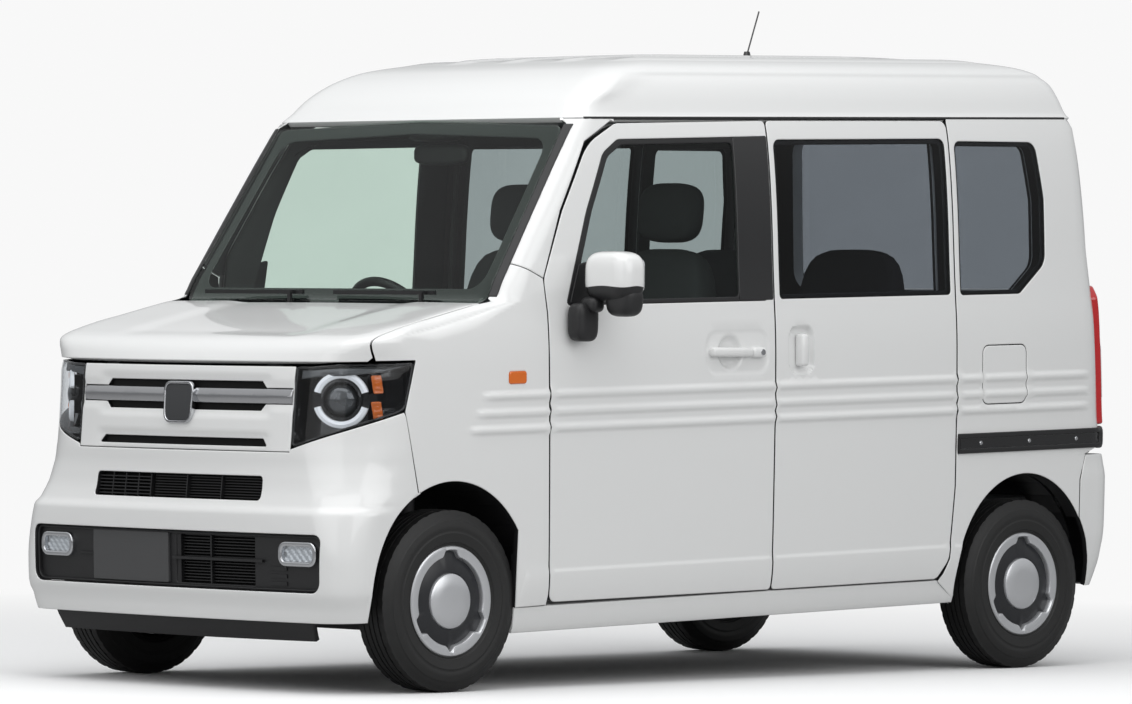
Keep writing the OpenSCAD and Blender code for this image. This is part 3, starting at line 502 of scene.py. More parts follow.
def panel(name, loops, place, materials, thick=22.0, lift=0.0, round_r=2.2, step=(34.0, 34.0),
          dense=((), ()), relief=None, gap=0.0, mirror=False, fine=None, thin=None):
    """Closed sheet cut to an outline and laid on the body, with rounded edges.

    loops[0] is the outline and the rest are holes. relief(uv) lifts the skin.
    fine lists areas with a closer grid, and thin(points) is the share of the thickness kept.
    The first material is the outer skin, the second the edges behind it, the third the back.
    """
    loops = [np.asarray(lp, float) for lp in loops]
    loops = [lp if (signed_area(lp) > 0) == (i == 0) else lp[::-1] for i, lp in enumerate(loops)]
    loops = [inset(lp, gap) for lp in loops]
    skin = [inset(lp, round_r + EDGE_SUPPORT) for lp in loops]
    lo, hi = loops[0].min(0), loops[0].max(0)
    gu = grid_lines(lo[0], hi[0], step[0], dense[0])
    gv = grid_lines(lo[1], hi[1], step[1], dense[1])
    grid = np.array([(u, v) for u in gu for v in gv])
    if fine is not None:
        for (u0, u1, v0, v1, s) in fine:
            keep = ~((grid[:, 0] > u0) & (grid[:, 0] < u1) & (grid[:, 1] > v0) & (grid[:, 1] < v1))
            local = np.array([(u, v) for u in np.arange(u0, u1 + 0.1, s) for v in np.arange(v0, v1 + 0.1, s)])
            grid = np.concatenate([grid[keep], local])
    if len(grid):
        grid = grid[inside(grid, skin)]
    if len(grid):
        near = min(step) * 0.3 if fine is None else 2.5
        grid = grid[clearance(grid, skin) > near]
    points2 = np.concatenate(skin + [grid]) if len(grid) else np.concatenate(skin)
    edges, start = [], 0
    for lp in skin:
        n = len(lp)
        edges += [(start + i, start + (i + 1) % n) for i in range(n)]
        start += n
    out = delaunay_2d_cdt([Vector(p) for p in points2], edges, [], 0, 1e-4)
    verts = np.array([tuple(v) for v in out[0]])
    index = {j: i for i, src in enumerate(out[3]) for j in src}
    tris = np.array([list(f) for f in out[2] if len(f) == 3])
    tris = tris[inside(verts[tris].mean(1), skin)]
    used = np.unique(tris)
    remap = -np.ones(len(verts), int)
    remap[used] = np.arange(len(used))
    verts, tris = verts[used], remap[tris]

    def put(uv, depth):
        p = place(uv)
        n = surface_normals(place, uv, p)
        if thin is not None:
            depth = depth * thin(p)
        up = relief(uv) if relief is not None else 0.0
        reach = lift - depth + up
        return p + n * (reach[:, None] if np.ndim(reach) else reach)

    outer = put(verts, 0.0)
    flip = np.cross(outer[tris[:, 1]] - outer[tris[:, 0]], outer[tris[:, 2]] - outer[tris[:, 0]])
    facing = surface_normals(place, verts[tris].mean(1), place(verts[tris].mean(1)))
    reverse = (flip * facing).sum() < 0
    if reverse:
        tris = tris[:, ::-1]
    points, faces, mats = list(outer), [tuple(t) for t in tris], [0] * len(tris)
    back_of = {}
    rings = [(round_r, 0.0), (0.3 * round_r, 0.3 * round_r), (0.0, round_r), (0.0, thick)]
    start = 0
    for lp in loops:
        n = len(lp)
        prev = [remap[index[start + i]] for i in range(n)]
        first = list(prev)
        start += n
        for k, (ins, depth) in enumerate(rings):
            base = len(points)
            points += list(put(inset(lp, ins), depth))
            cur = [base + i for i in range(n)]
            for i in range(n):
                j = (i + 1) % n
                q = (prev[i], cur[i], cur[j], prev[j])
                faces.append(q[::-1] if reverse else q)
                mats.append(0 if k < 3 else 1)
            prev = cur
        for i in range(n):
            back_of[first[i]] = prev[i]
    base = len(points)
    points += list(put(verts, thick))
    back = [back_of.get(i, base + i) for i in range(len(verts))]
    faces += [(back[t[0]], back[t[2]], back[t[1]]) for t in tris]
    mats += [2] * len(tris)
    points = np.array(points)
    used = np.unique(np.concatenate([np.array(f) for f in faces]))
    remap = -np.ones(len(points), int)
    remap[used] = np.arange(len(used))
    points = points[used]
    faces = [tuple(int(remap[i]) for i in f) for f in faces]
    if mirror:
        points = points * [-1, 1, 1]
        faces = [f[::-1] for f in faces]
    materials = list(materials) if isinstance(materials, (list, tuple)) else [materials]
    while len(materials) < 3:
        materials.append(materials[-1])
    return make_mesh(name, points, faces, materials, mats)


def closed_sheet(name, points, faces, materials, thick):
    """Closed sheet from the points and faces of an outer surface, in millimetres."""
    points = np.asarray(points, float)
    normal = np.zeros_like(points)
    for f in faces:
        n = np.cross(points[f[1]] - points[f[0]], points[f[2]] - points[f[0]])
        normal[list(f)] += n / (np.linalg.norm(n) + 1e-9)
    normal /= np.linalg.norm(normal, axis=1)[:, None] + 1e-9
    count = len(points)
    border = {}
    for f in faces:
        for a, b in zip(f, f[1:] + f[:1]):
            border[(a, b)] = (b, a) not in border
            if (b, a) in border:
                border[(a, b)] = border[(b, a)] = False
    walls = [(b, a, a + count, b + count) for (a, b), edge in border.items() if edge]
    back = [tuple(i + count for i in f[::-1]) for f in faces]
    everything = np.concatenate([points, points - normal * thick])
    return make_mesh(name, everything, list(faces) + walls + back, materials)


def turned(name, profile, centre, material, segments):
    """Solid of revolution about X from (radius, offset along X) points."""
    t = np.linspace(0, 2 * math.pi, segments, endpoint=False)
    points = [(centre[0] + x, centre[1] + r * math.cos(k), centre[2] + r * math.sin(k))
              for r, x in profile for k in t]
    n = segments
    faces = [(k * n + i, k * n + (i + 1) % n, (k + 1) * n + (i + 1) % n, (k + 1) * n + i)
             for k in range(len(profile) - 1) for i in range(n)]
    return make_mesh(name, points, faces, material, angle=40)


def block(name, low, high, material, bevel, segments):
    """Box between two corners with rounded edges."""
    low, high = np.minimum(low, high), np.maximum(low, high)
    c = [[(low, high)[i][0], (low, high)[j][1], (low, high)[k][2]]
         for i in (0, 1) for j in (0, 1) for k in (0, 1)]
    faces = [(0, 1, 3, 2), (4, 6, 7, 5), (0, 4, 5, 1), (2, 3, 7, 6), (0, 2, 6, 4), (1, 5, 7, 3)]
    o = make_mesh(name, c, faces, material, flat=True)
    shape = bmesh.new()
    shape.from_mesh(o.data)
    bmesh.ops.bevel(shape, geom=shape.edges[:], offset=bevel * MM, segments=segments,
                    profile=0.5, affect="EDGES")
    shape.to_mesh(o.data)
    shape.free()
    o.data.polygons.foreach_set("use_smooth", np.ones(len(o.data.polygons), bool))
    o.data.update()
    o.data.set_sharp_from_angle(angle=math.radians(40))
    return o


def join(name, objects):
    """One object from several, keeping their materials."""
    with bpy.context.temp_override(active_object=objects[0], selected_editable_objects=objects):
        bpy.ops.object.join()
    objects[0].name = name
    return objects[0]


# Each side and whether it is mirrored from the left
SIDES = (("left", False), ("right", True))


def to_right(*objects):
    """Turns left-hand pieces into right-hand ones."""
    for o in objects:
        o.data.transform(Matrix.Scale(-1, 4, (1, 0, 0)))
        o.data.flip_normals()


def place(o, body, slot, *nodes):
    """Rides a piece on its body, in place of CAD nodes; the slot argument is not used."""
    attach(o, body)
    if nodes:
        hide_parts(*nodes)
    return o


# ---- materials -----------------------------------------------------------------------------
def finish(name, colour, rough=0.5, metal=0.0, coat=0.0, grain=0.03, scale=40.0, bump=0.0,
           bump_scale=900.0, emit=0.0):
    """Painted, moulded or cast surface with a fine unevenness."""
    name = "van_" + name
    found = bpy.data.materials.get(name)
    if found:
        return found
    m = bpy.data.materials.new(name)
    m.use_nodes = True
    tree = m.node_tree
    shader = tree.nodes["Principled BSDF"]
    where = tree.nodes.new("ShaderNodeTexCoord")
    noise = tree.nodes.new("ShaderNodeTexNoise")
    noise.inputs["Scale"].default_value = scale
    noise.inputs["Detail"].default_value = 6
    tree.links.new(where.outputs["Object"], noise.inputs["Vector"])
    mix = tree.nodes.new("ShaderNodeMix")
    mix.data_type = "RGBA"
    mix.inputs["A"].default_value = [c * (1 - grain) for c in colour[:3]] + [1]
    mix.inputs["B"].default_value = [min(1, c * (1 + grain)) for c in colour[:3]] + [1]
    tree.links.new(noise.outputs["Fac"], mix.inputs["Factor"])
    tree.links.new(mix.outputs["Result"], shader.inputs["Base Color"])
    spread = tree.nodes.new("ShaderNodeMapRange")
    spread.inputs["To Min"].default_value = max(0, rough - 0.04)
    spread.inputs["To Max"].default_value = min(1, rough + 0.04)
    tree.links.new(noise.outputs["Fac"], spread.inputs["Value"])
    tree.links.new(spread.outputs["Result"], shader.inputs["Roughness"])
    shader.inputs["Metallic"].default_value = metal
    shader.inputs["Coat Weight"].default_value = coat
    shader.inputs["Coat Roughness"].default_value = 0.04
    if emit:
        shader.inputs["Emission Color"].default_value = list(colour[:3]) + [1]
        shader.inputs["Emission Strength"].default_value = emit
    if bump:
        grainy = tree.nodes.new("ShaderNodeTexNoise")
        grainy.inputs["Scale"].default_value = bump_scale
        grainy.inputs["Detail"].default_value = 3
        lift = tree.nodes.new("ShaderNodeBump")
        lift.inputs["Strength"].default_value = bump
        lift.inputs["Distance"].default_value = 0.001
        tree.links.new(where.outputs["Object"], grainy.inputs["Vector"])
        tree.links.new(grainy.outputs["Fac"], lift.inputs["Height"])
        tree.links.new(lift.outputs["Normal"], shader.inputs["Normal"])
    return m


def clear(name, colour):
    """Thin pane: tinted where light passes, mirror-like where it glances off its outer face."""
    name = "van_" + name
    found = bpy.data.materials.get(name)
    if found:
        return found
    m = bpy.data.materials.new(name)
    m.use_nodes = True
    tree = m.node_tree
    tree.nodes.clear()
    where = tree.nodes.new("ShaderNodeTexCoord")
    noise = tree.nodes.new("ShaderNodeTexNoise")
    noise.inputs["Scale"].default_value = 3
    tint = tree.nodes.new("ShaderNodeMix")
    tint.data_type = "RGBA"
    tint.inputs["A"].default_value = [c * 0.97 for c in colour] + [1]
    tint.inputs["B"].default_value = list(colour) + [1]
    through = tree.nodes.new("ShaderNodeBsdfTransparent")
    gloss = tree.nodes.new("ShaderNodeBsdfGlossy")
    gloss.inputs["Roughness"].default_value = 0.0
    glance = tree.nodes.new("ShaderNodeFresnel")
    glance.inputs["IOR"].default_value = 1.38
    faces = tree.nodes.new("ShaderNodeNewGeometry")
    front = tree.nodes.new("ShaderNodeMath")
    front.operation = "SUBTRACT"
    front.inputs[0].default_value = 1.0
    share = tree.nodes.new("ShaderNodeMath")
    share.operation = "MULTIPLY"
    tree.links.new(faces.outputs["Backfacing"], front.inputs[1])
    tree.links.new(front.outputs["Value"], share.inputs[0])
    tree.links.new(glance.outputs["Fac"], share.inputs[1])
    mix = tree.nodes.new("ShaderNodeMixShader")
    out = tree.nodes.new("ShaderNodeOutputMaterial")
    tree.links.new(where.outputs["Object"], noise.inputs["Vector"])
    tree.links.new(noise.outputs["Fac"], tint.inputs["Factor"])
    tree.links.new(tint.outputs["Result"], through.inputs["Color"])
    tree.links.new(share.outputs["Value"], mix.inputs["Fac"])
    tree.links.new(through.outputs["BSDF"], mix.inputs[1])
    tree.links.new(gloss.outputs["BSDF"], mix.inputs[2])
    tree.links.new(mix.outputs["Shader"], out.inputs["Surface"])
    return m


def white(s):
    """Body paint under its clear coat."""
    return finish("body_paint", s.paint_colour, 0.32, coat=0.9, grain=0.01, scale=700)


def black():
    return finish("moulded_black", (0.011, 0.011, 0.012), 0.45, bump=0.15, scale=300)


def gloss_black():
    return finish("gloss_black", (0.008, 0.008, 0.009), 0.12, coat=0.6)


def dark():
    return finish("dark_grey_plastic", (0.035, 0.037, 0.04), 0.55, bump=0.2)


def lining():
    return finish("cabin_lining", (0.035, 0.037, 0.037), 0.8, bump=0.25)


def chrome():
    return finish("chrome", (0.62, 0.63, 0.65), 0.12, metal=1.0, grain=0.02)


def steel():
    return finish("underbody_steel", (0.045, 0.045, 0.048), 0.6, metal=0.3, bump=0.3, bump_scale=300)


def amber():
    """Clear orange plastic of the turn lamps."""
    return finish("amber_lens", (0.72, 0.15, 0.01), 0.15, coat=0.8)


class KeiVanSettings(bpy.types.PropertyGroup):
    """Sizes and colours of the finish."""

    paint_colour: FloatVectorProperty(
        name="Paint", description="Colour of the body paint", subtype="COLOR",
        size=3, min=0, max=1, default=(0.80, 0.805, 0.80))
    glass_tint: FloatVectorProperty(
        name="Glass tint", description="Colour of the windscreen and front door glass",
        subtype="COLOR", size=3, min=0, max=1, default=(0.87, 0.922, 0.894))
    privacy_tint: FloatVectorProperty(
        name="Privacy tint", description="Colour of the rear side and tailgate glass",
        subtype="COLOR", size=3, min=0, max=1, default=(0.62, 0.64, 0.66))
    rib_height: FloatProperty(
        name="Rib height", description="How far the ribs stand out of the body side",
        unit="LENGTH", min=0.0, max=0.012, default=0.0065)
    tread_depth: FloatProperty(
        name="Tread depth", description="Depth of the grooves in the tyres",
        unit="LENGTH", min=0.002, max=0.009, default=0.007)
    light_power: FloatProperty(
        name="Light", description="Power of the overhead light, in watts",
        min=0.0, max=3000.0, default=150.0)


# ---- body side -------------------------------------------------------------------------------
# Heights of the three ribs, and of the rows of closer points: ribs, and crease at the foot
RIBS = (897.0, 846.0, 797.0)
RIB_ROWS = [(776, 922, 5.0), (362, 382, 4.0)]


def rib_relief(s):
    """Relief of the three ribs and of the crease at the foot, at a station and a height."""
    height = s.rib_height / MM

    def relief(y, z):
        total = np.zeros(np.shape(y))
        for i, centre in enumerate(RIBS):
            reach = smooth(0, 46, y - (AXLE_F + 100 - 27 * i))
            rear = smooth(0, 30, AXLE_R + 290 - y)
            d = z - centre
            total = total + reach * rear * smooth(-14, -8, d) * (1 - smooth(5, 13, d))
        return height * total + 4 * smooth(378, 366, z)

    return relief


def arch_points(y, lo, hi, grow=0.0, count=40):
    """Side-view points along a wheel opening between two angles, in degrees."""
    out = []
    for k in range(count + 1):
        t = math.radians(lo + (hi - lo) * k / count)
        py = y + (ARCH_A + grow) * math.cos(t)
        out.append((py, WHEEL_Z + (ARCH_B + grow) * math.sin(t) - RAKE * py))
    return out


def arch_angle(y, at):
    """Angle at which a wheel opening passes a station."""
    return math.degrees(math.acos((at - y) / ARCH_A))


FRONT_DOOR = [(HINGE + 26, 278, 26), (HINGE + 8, 1138, 60), (HINGE - 5, 1237, 60),
              (HINGE + 78, 1437, 300), (HINGE + 200, 1640, 170), (HINGE + 330, 1702, 60),
              (DOOR_GAP - 3, GUTTER - 8, 14), (DOOR_GAP - 3, 272, 12)]
SLIDING_DOOR = [(DOOR_GAP + 3, 272, 12), (DOOR_GAP + 3, GUTTER - 8, 14),
                (SLIDE_END - 3, GUTTER - 8, 26), (SLIDE_END, 560, 200),
                (SLIDE_END - 22, 330, 60), (SLIDE_END - 70, 270, 30)]
FRONT_WINDOW = [(HINGE + 84, BELT + 6, 12), (HINGE + 178, 1436, 400),
                (HINGE + 262, 1612, 60), (HINGE + 330, 1654, 40),
                (DOOR_GAP - 30, 1662, 22), (DOOR_GAP - 30, BELT + 6, 12)]
SLIDING_WINDOW = [(DOOR_GAP + 24, BELT + 10, 14), (DOOR_GAP + 24, 1652, 26),
                  (SLIDE_END - 20, 1654, 26), (SLIDE_END - 20, BELT + 10, 14)]
QUARTER_WINDOW = [(SLIDE_END + 24, BELT + 8, 14), (SLIDE_END + 24, 1646, 26),
                  (AXLE_R + 68, 1642, 40), (AXLE_R + 96, 1462, 60),
                  (AXLE_R + 92, 1256, 60), (AXLE_R - 36, BELT + 8, 30)]
FLAP_Y = AXLE_R - 115
FLAP = [(FLAP_Y - 102, 815, 24), (FLAP_Y - 102, 998, 24),
        (FLAP_Y + 102, 998, 24), (FLAP_Y + 102, 815, 24)]
# Half width of the tailgate
GATE_X = 639.5


def grown(corners, d, step=16.0):
    """An outline moved outwards by d."""
    line = outline(corners, step)
    if signed_area(line) < 0:
        line = line[::-1]
    return inset(line, -d)


def screen_edge(z):
    """Half width at which the fenders and pillars meet the windscreen at a height."""
    return HALF_W - 65 - 35 * (z - 1176) / 524


def flank_side(points):
    """Side-view points as points of on_flank."""
    return flank(from_side(points))


def on_left(relief):
    """Turns a relief over stations and heights into one for on_flank points."""
    def lifted(uv):
        p = on_flank(uv)
        return relief(p[:, 1], uv[:, 1])
    return lifted


def gate_edge(z):
    """Half width of the tailgate at a height."""
    return GATE_X - 24 * max(0, (z - BELT) / 640)


class KEIVAN_OT_sides(bpy.types.Operator):
    """Builds the rear quarters, sills, windscreen pillars and door flanges of both sides."""
    bl_idname = "keivan.sides"
    bl_label = "Body sides"

    def execute(self, context):
        s = context.scene.kei_van
        paint = white(s)
        ribs = rib_relief(s)
        seam_y = AXLE_R + ARCH_A - 62
        arch = arch_points(AXLE_R, 180 + 7, arch_angle(AXLE_R, seam_y))
        quarter = (
            [(SLIDE_END - 70 + 8, 262)] + arch
            + [(seam_y, 560), (seam_y + 26, 640), (TAIL - 130, 640)])
        quarter = list(flank_side(spaced(quarter, 16, closed=False)))
        tail = [(gate_edge(z) + 6, z) for z in np.arange(640, GUTTER + 1, 14)]
        quarter += list(flank(from_nose(tail, tail=True)))
        top = spaced([(TAIL - 175, GUTTER - 1), (SLIDE_END + 3, GUTTER - 1)], 24, closed=False)
        quarter += list(flank_side(top))
        door = [(SLIDE_END + 3, GUTTER - 30), (SLIDE_END + 6, 560), (SLIDE_END - 16, 330),
                (SLIDE_END - 40, 284)]
        quarter += list(flank_side(spaced(door, 20, closed=False)))
        window = flank_side(outline(QUARTER_WINDOW, 14))
        flap = flank_side(grown(FLAP, 3, 14))
        sill = flank_side(spaced([
            (AXLE_F + 262, 192), (AXLE_R - 318, 192), (AXLE_R - 320, 262), (SLIDE_END - 70, 264),
            (DOOR_GAP, 267), (AXLE_F + 262, 267)], 24))
        pillar_out = [(screen_edge(z), z) for z in np.arange(1284, 1718, 14)]
        inner = spaced([(HINGE + 326, GUTTER - 1), (HINGE + 190, 1648), (HINGE + 70, 1442),
                        (HINGE - 8, 1242), (HINGE - 114, 1289)], 16, closed=False)
        pillar = list(flank(from_nose(pillar_out))) + list(flank_side(
            spaced([(HINGE + 150, GUTTER - 1), (HINGE + 326, GUTTER - 1)], 20, closed=False)))
        pillar += list(flank_side(inner))
        opening = flank_side(spaced([
            (HINGE + 60, 300), (SLIDE_END - 100, 300), (SLIDE_END - 46, 360), (SLIDE_END - 26, 560),
            (SLIDE_END - 28, GUTTER - 32), (HINGE + 336, GUTTER - 34), (HINGE + 226, 1630),
            (HINGE + 104, 1434), (HINGE + 22, 1240), (HINGE + 34, 1138)], 24))
        jamb = list(flank_side(spaced(
            [(AXLE_F + 300, 200), (AXLE_R - 330, 200)] + arch_points(AXLE_R, 190, 60, 6)
            + [(TAIL - 170, 660), (TAIL - 170, GUTTER - 4), (HINGE + 196, GUTTER - 4),
               (HINGE + 90, 1560), (HINGE - 30, 1300), (HINGE - 40, 1100), (AXLE_F + 300, 640)], 24)))
        for side, flip in SIDES:
            holes = [window, flap] if side == "left" else [window]
            dense = ((), RIB_ROWS)
            pieces = [
                panel("quarter_" + side, [quarter] + holes, on_flank, [paint, black(), lining()],
                      thick=DOOR_T - 1, relief=on_left(ribs), dense=dense, mirror=flip,
                      step=(30, 30)),
                panel("sill_" + side, [sill], on_flank, paint, thick=DOOR_T - 1, mirror=flip,
                      relief=on_left(lambda y, z: 4 * smooth(246, 205, z))),
                panel("pillar_" + side, [pillar], on_flank, [paint, black(), lining()],
                      thick=40, mirror=flip, step=(22, 22)),
                panel("jamb_" + side, [jamb, opening, window], on_flank, [paint, lining(), lining()],
                      thick=13, lift=-DOOR_T - 0.5, mirror=flip, step=(60, 60)),
            ]
            place(pieces[0], "body", "body_paint", "side_panel_" + side)
            for o in pieces[1:]:
                place(o, "body", "body_paint")
        return {"FINISHED"}


LAMP_IN = HALF_W - 268
SCREEN = [(HALF_W - 71, 1178, 30), (HALF_W - 106, 1702, 40), (0, 1720, 0),
          (106 - HALF_W, 1702, 40), (71 - HALF_W, 1178, 30)]


def lamp_edge():
    """Lower edge of the left headlamp, in on_wall points, from the grille outwards."""
    g0, g1 = level(run_of_z(np.array([757.0]))), level(run_of_z(np.array([862.0])))
    a0 = length_at_x(g0, np.array([LAMP_IN]))[0]
    a1 = length_at_y(g1, np.array([NOSE + 262.0]))[0]
    return [(a0 + (a1 - a0) * t, 757 + 105 * t) for t in np.linspace(0, 1, 24)]


def fender_loop():
    """Outline of the left fender, for on_flank_run."""
    seam = arch_angle(AXLE_F, AXLE_F + 262)
    wheel = arch_points(AXLE_F, seam, 180 - 6)
    wheel = [p for p in wheel if p[0] > NOSE + 326 or p[1] > 600]
    front = [(NOSE + 323, 622), (NOSE + 266, 860), (NOSE + 302, 1004)]
    rear = [(HINGE - 10, 1238), (HINGE + 2, 1138), (HINGE + 20, 300), (HINGE + 16, 270),
            (AXLE_F + 262, 268)]
    side = np.array(list(spaced(rear, 14, closed=False)) + wheel + list(spaced(front, 12, closed=False)))
    run = run_of_z(side[:, 1])
    loop = [(a, r) for a, r in zip(length_at_y(level(run), side[:, 0]), run)]
    g = level(run_of_z(np.array([1010.0])))
    corner = length_at_y(g, np.array([NOSE + 302.0]))[0]
    inner = length_at_x(g, np.array([HALF_W - 44.0]))[0]
    loop += [(a, run_of_z(1010.0)) for a in np.linspace(corner, inner, 5)]
    for r in np.linspace(run_of_z(1014.0), run_of_z(1176.0), 46):
        g = level(np.array([r]))
        loop.append((length_at_x(g, np.array([HALF_W - 44.0]))[0], r))
    for z in np.arange(1184, 1286, 12):
        r = run_of_z(z)
        loop.append((length_at_x(level(np.array([r])), np.array([screen_edge(z)]))[0], r))
    for y, z in spaced([(HINGE - 114, 1286), (HINGE - 10, 1240)], 14, closed=False):
        r = run_of_z(z)
        loop.append((length_at_y(level(np.array([r])), np.array([y]))[0], r))
    loop = np.array(loop)
    g = level(loop[:, 1])
    loop[:, 0] += g["side_start"] - g["l2"]
    return loop


class KEIVAN_OT_nose(bpy.types.Operator):
    """Builds the fenders, bonnet and front bumper."""
    bl_idname = "keivan.nose"
    bl_label = "Nose panels"

    def execute(self, context):
        s = context.scene.kei_van
        ribs = rib_relief(s)
        paint = white(s)
        y0, y1 = AXLE_F + 212.5, AXLE_F + 283.5
        marker = flank_side(outline([(y0, 931, 8), (y0, 968, 8), (y1, 968, 8), (y1, 931, 8)], 6))
        marker_run = np.stack([marker[:, 0], run_of_z(marker[:, 1])], 1)

        def lifted(uv):
            z = np.interp(uv[:, 1], FINE_RUN, FINE_Z)
            return ribs(on_flank_run(uv)[:, 1], z)

        rows = [(run_of_z(776.0), run_of_z(922.0), 5.0), (run_of_z(1015.0), run_of_z(1176.0), 12.0)]
        for side, flip in SIDES:
            o = panel("fender_" + side, [fender_loop(), marker_run], on_flank_run,
                      [paint, black(), black()], thick=20, relief=lifted,
                      dense=((), rows), mirror=flip, step=(22, 22),
                      thin=lambda q: 1 - 0.8 * smooth(985, 1030, q[:, 2] - RAKE * q[:, 1]))
            place(o, "body", "body_paint", *(["front_fenders"] if side == "left" else []))
            lamp = panel("side_marker_" + side, [marker], on_flank,
                         amber(), thick=14, lift=3, mirror=flip, step=(9, 9))
            place(lamp, "body", "lamp")
        low, high = run_of_z(1008.0), run_of_z(1171.0)
        edge = HALF_W - 48
        lid = [(x, low) for x in np.linspace(-edge + 10, edge - 10, 60)]
        lid += [(edge, r) for r in np.linspace(low + 12, high - 8, 30)]
        lid += [(x, high + 26 * (1 - (x / edge)**2)) for x in np.linspace(edge - 10, -edge + 10, 60)]
        lid += [(-edge, r) for r in np.linspace(high - 8, low + 12, 30)]

        def crown(uv):
            x, r = np.abs(uv[:, 0]), uv[:, 1]
            return -6 * smooth(430, 330, x) * smooth(low + 90, low + 190, r)

        o = panel("bonnet_skin", [np.array(lid)], on_deck, [paint, paint, black()], thick=18,
                  relief=crown, step=(26, 16))
        place(o, "bonnet_lid", "body_paint", "bonnet")

        # Bumper: from one wheel opening round the nose to the other
        half = [(x, 744) for x in np.linspace(0, LAMP_IN - 3, 24)]
        half = list(from_nose(half)) + [(u, v - 4) for u, v in lamp_edge()]
        half += list(from_side(spaced([(NOSE + 268, 846), (NOSE + 320, 618)], 12, closed=False)))
        wheel = [p for p in arch_points(AXLE_F, 92, 176) if p[0] < NOSE + 322 and p[1] < 618]
        half += list(from_side(wheel + [(AXLE_F - ARCH_A + 4, 249)]))
        end = from_side([(AXLE_F - ARCH_A + 4, 249)])[0][0]
        half += [(a, 249) for a in np.linspace(end - 20, 0, 50)]
        half = np.array(half)
        left = half[:-1]
        right = (half[1:] * [-1, 1])[::-1]
        slot = from_nose(outline([(-370, 602, 12), (370, 602, 12), (367, 674, 12), (-367, 674, 12)], 10))
        mouth = from_nose(outline([(-632, 338, 34), (632, 338, 34), (635, 508, 24), (-635, 508, 24)], 12))

        def shelf(uv):
            a, z = np.abs(uv[:, 0]), uv[:, 1]
            face = smooth(905, 800, a)
            return face * (9 * smooth(590, 562, z) * smooth(300, 330, z)
                           - 6 * smooth(742, 700, z) * smooth(590, 640, z))

        o = panel("bumper_front", [np.concatenate([left, right]), slot, mouth], on_wall,
                  [paint, black(), black()], thick=20, step=(24, 20), relief=shelf,
                  dense=([(780, 920, 9), (-920, -780, 9)], [(555, 600, 5)]))
        place(o, "body", "body_paint", "front_bumper")
        return {"FINISHED"}


class KEIVAN_OT_glass(bpy.types.Operator):
    """Builds the windscreen with its dark border and the fixed side glass."""
    bl_idname = "keivan.glass"
    bl_label = "Windscreen and fixed glass"

    def execute(self, context):
        s = context.scene.kei_van
        tint = clear("screen_glass", s.glass_tint)
        shade = clear("privacy_glass", s.privacy_tint)
        ring = outline(SCREEN, 22)
        o = panel("windscreen_glass", [from_nose(ring)], on_wall, tint, thick=5, lift=-1, step=(14, 44))
        place(o, "body", "screen_glass", "windscreen")
        inner = [(HALF_W - 71 - 48, 1216, 50), (HALF_W - 106 - 44, 1662, 60), (0, 1682, 0),
                 (-HALF_W + 106 + 44, 1662, 60), (-HALF_W + 71 + 48, 1216, 50)]
        border = panel("windscreen_border", [from_nose(ring), from_nose(outline(inner, 22))],
                       on_wall, gloss_black(), thick=2, lift=-8.5, step=(14, 44))
        place(border, "body", "black_plastic")
        for side, flip in SIDES:
            o = panel("quarter_glass_" + side, [flank_side(outline(QUARTER_WINDOW, 14))], on_flank,
                      shade, thick=5, lift=-3, gap=0.6, mirror=flip)
            place(o, "body", "privacy_glass", *(["quarter_glass"] if side == "left" else []))
            seal = panel("quarter_seal_" + side,
                         [flank_side(outline(QUARTER_WINDOW, 14)),
                          flank_side(grown(QUARTER_WINDOW, -15, 14))], on_flank,
                         gloss_black(), thick=3, lift=-9, gap=0.6, mirror=flip)
            place(seal, "body", "black_plastic")
            strip = [(screen_edge(z) - 3, z) for z in np.arange(1188, 1704, 16)]
            wide = [(x + 24, z) for x, z in strip[::-1]]
            o = panel("pillar_trim_" + side, [from_nose(strip + wide)], on_wall, black(),
                      thick=4, lift=3.5, mirror=flip, step=(12, 40))
            place(o, "body", "black_plastic")
        return {"FINISHED"}


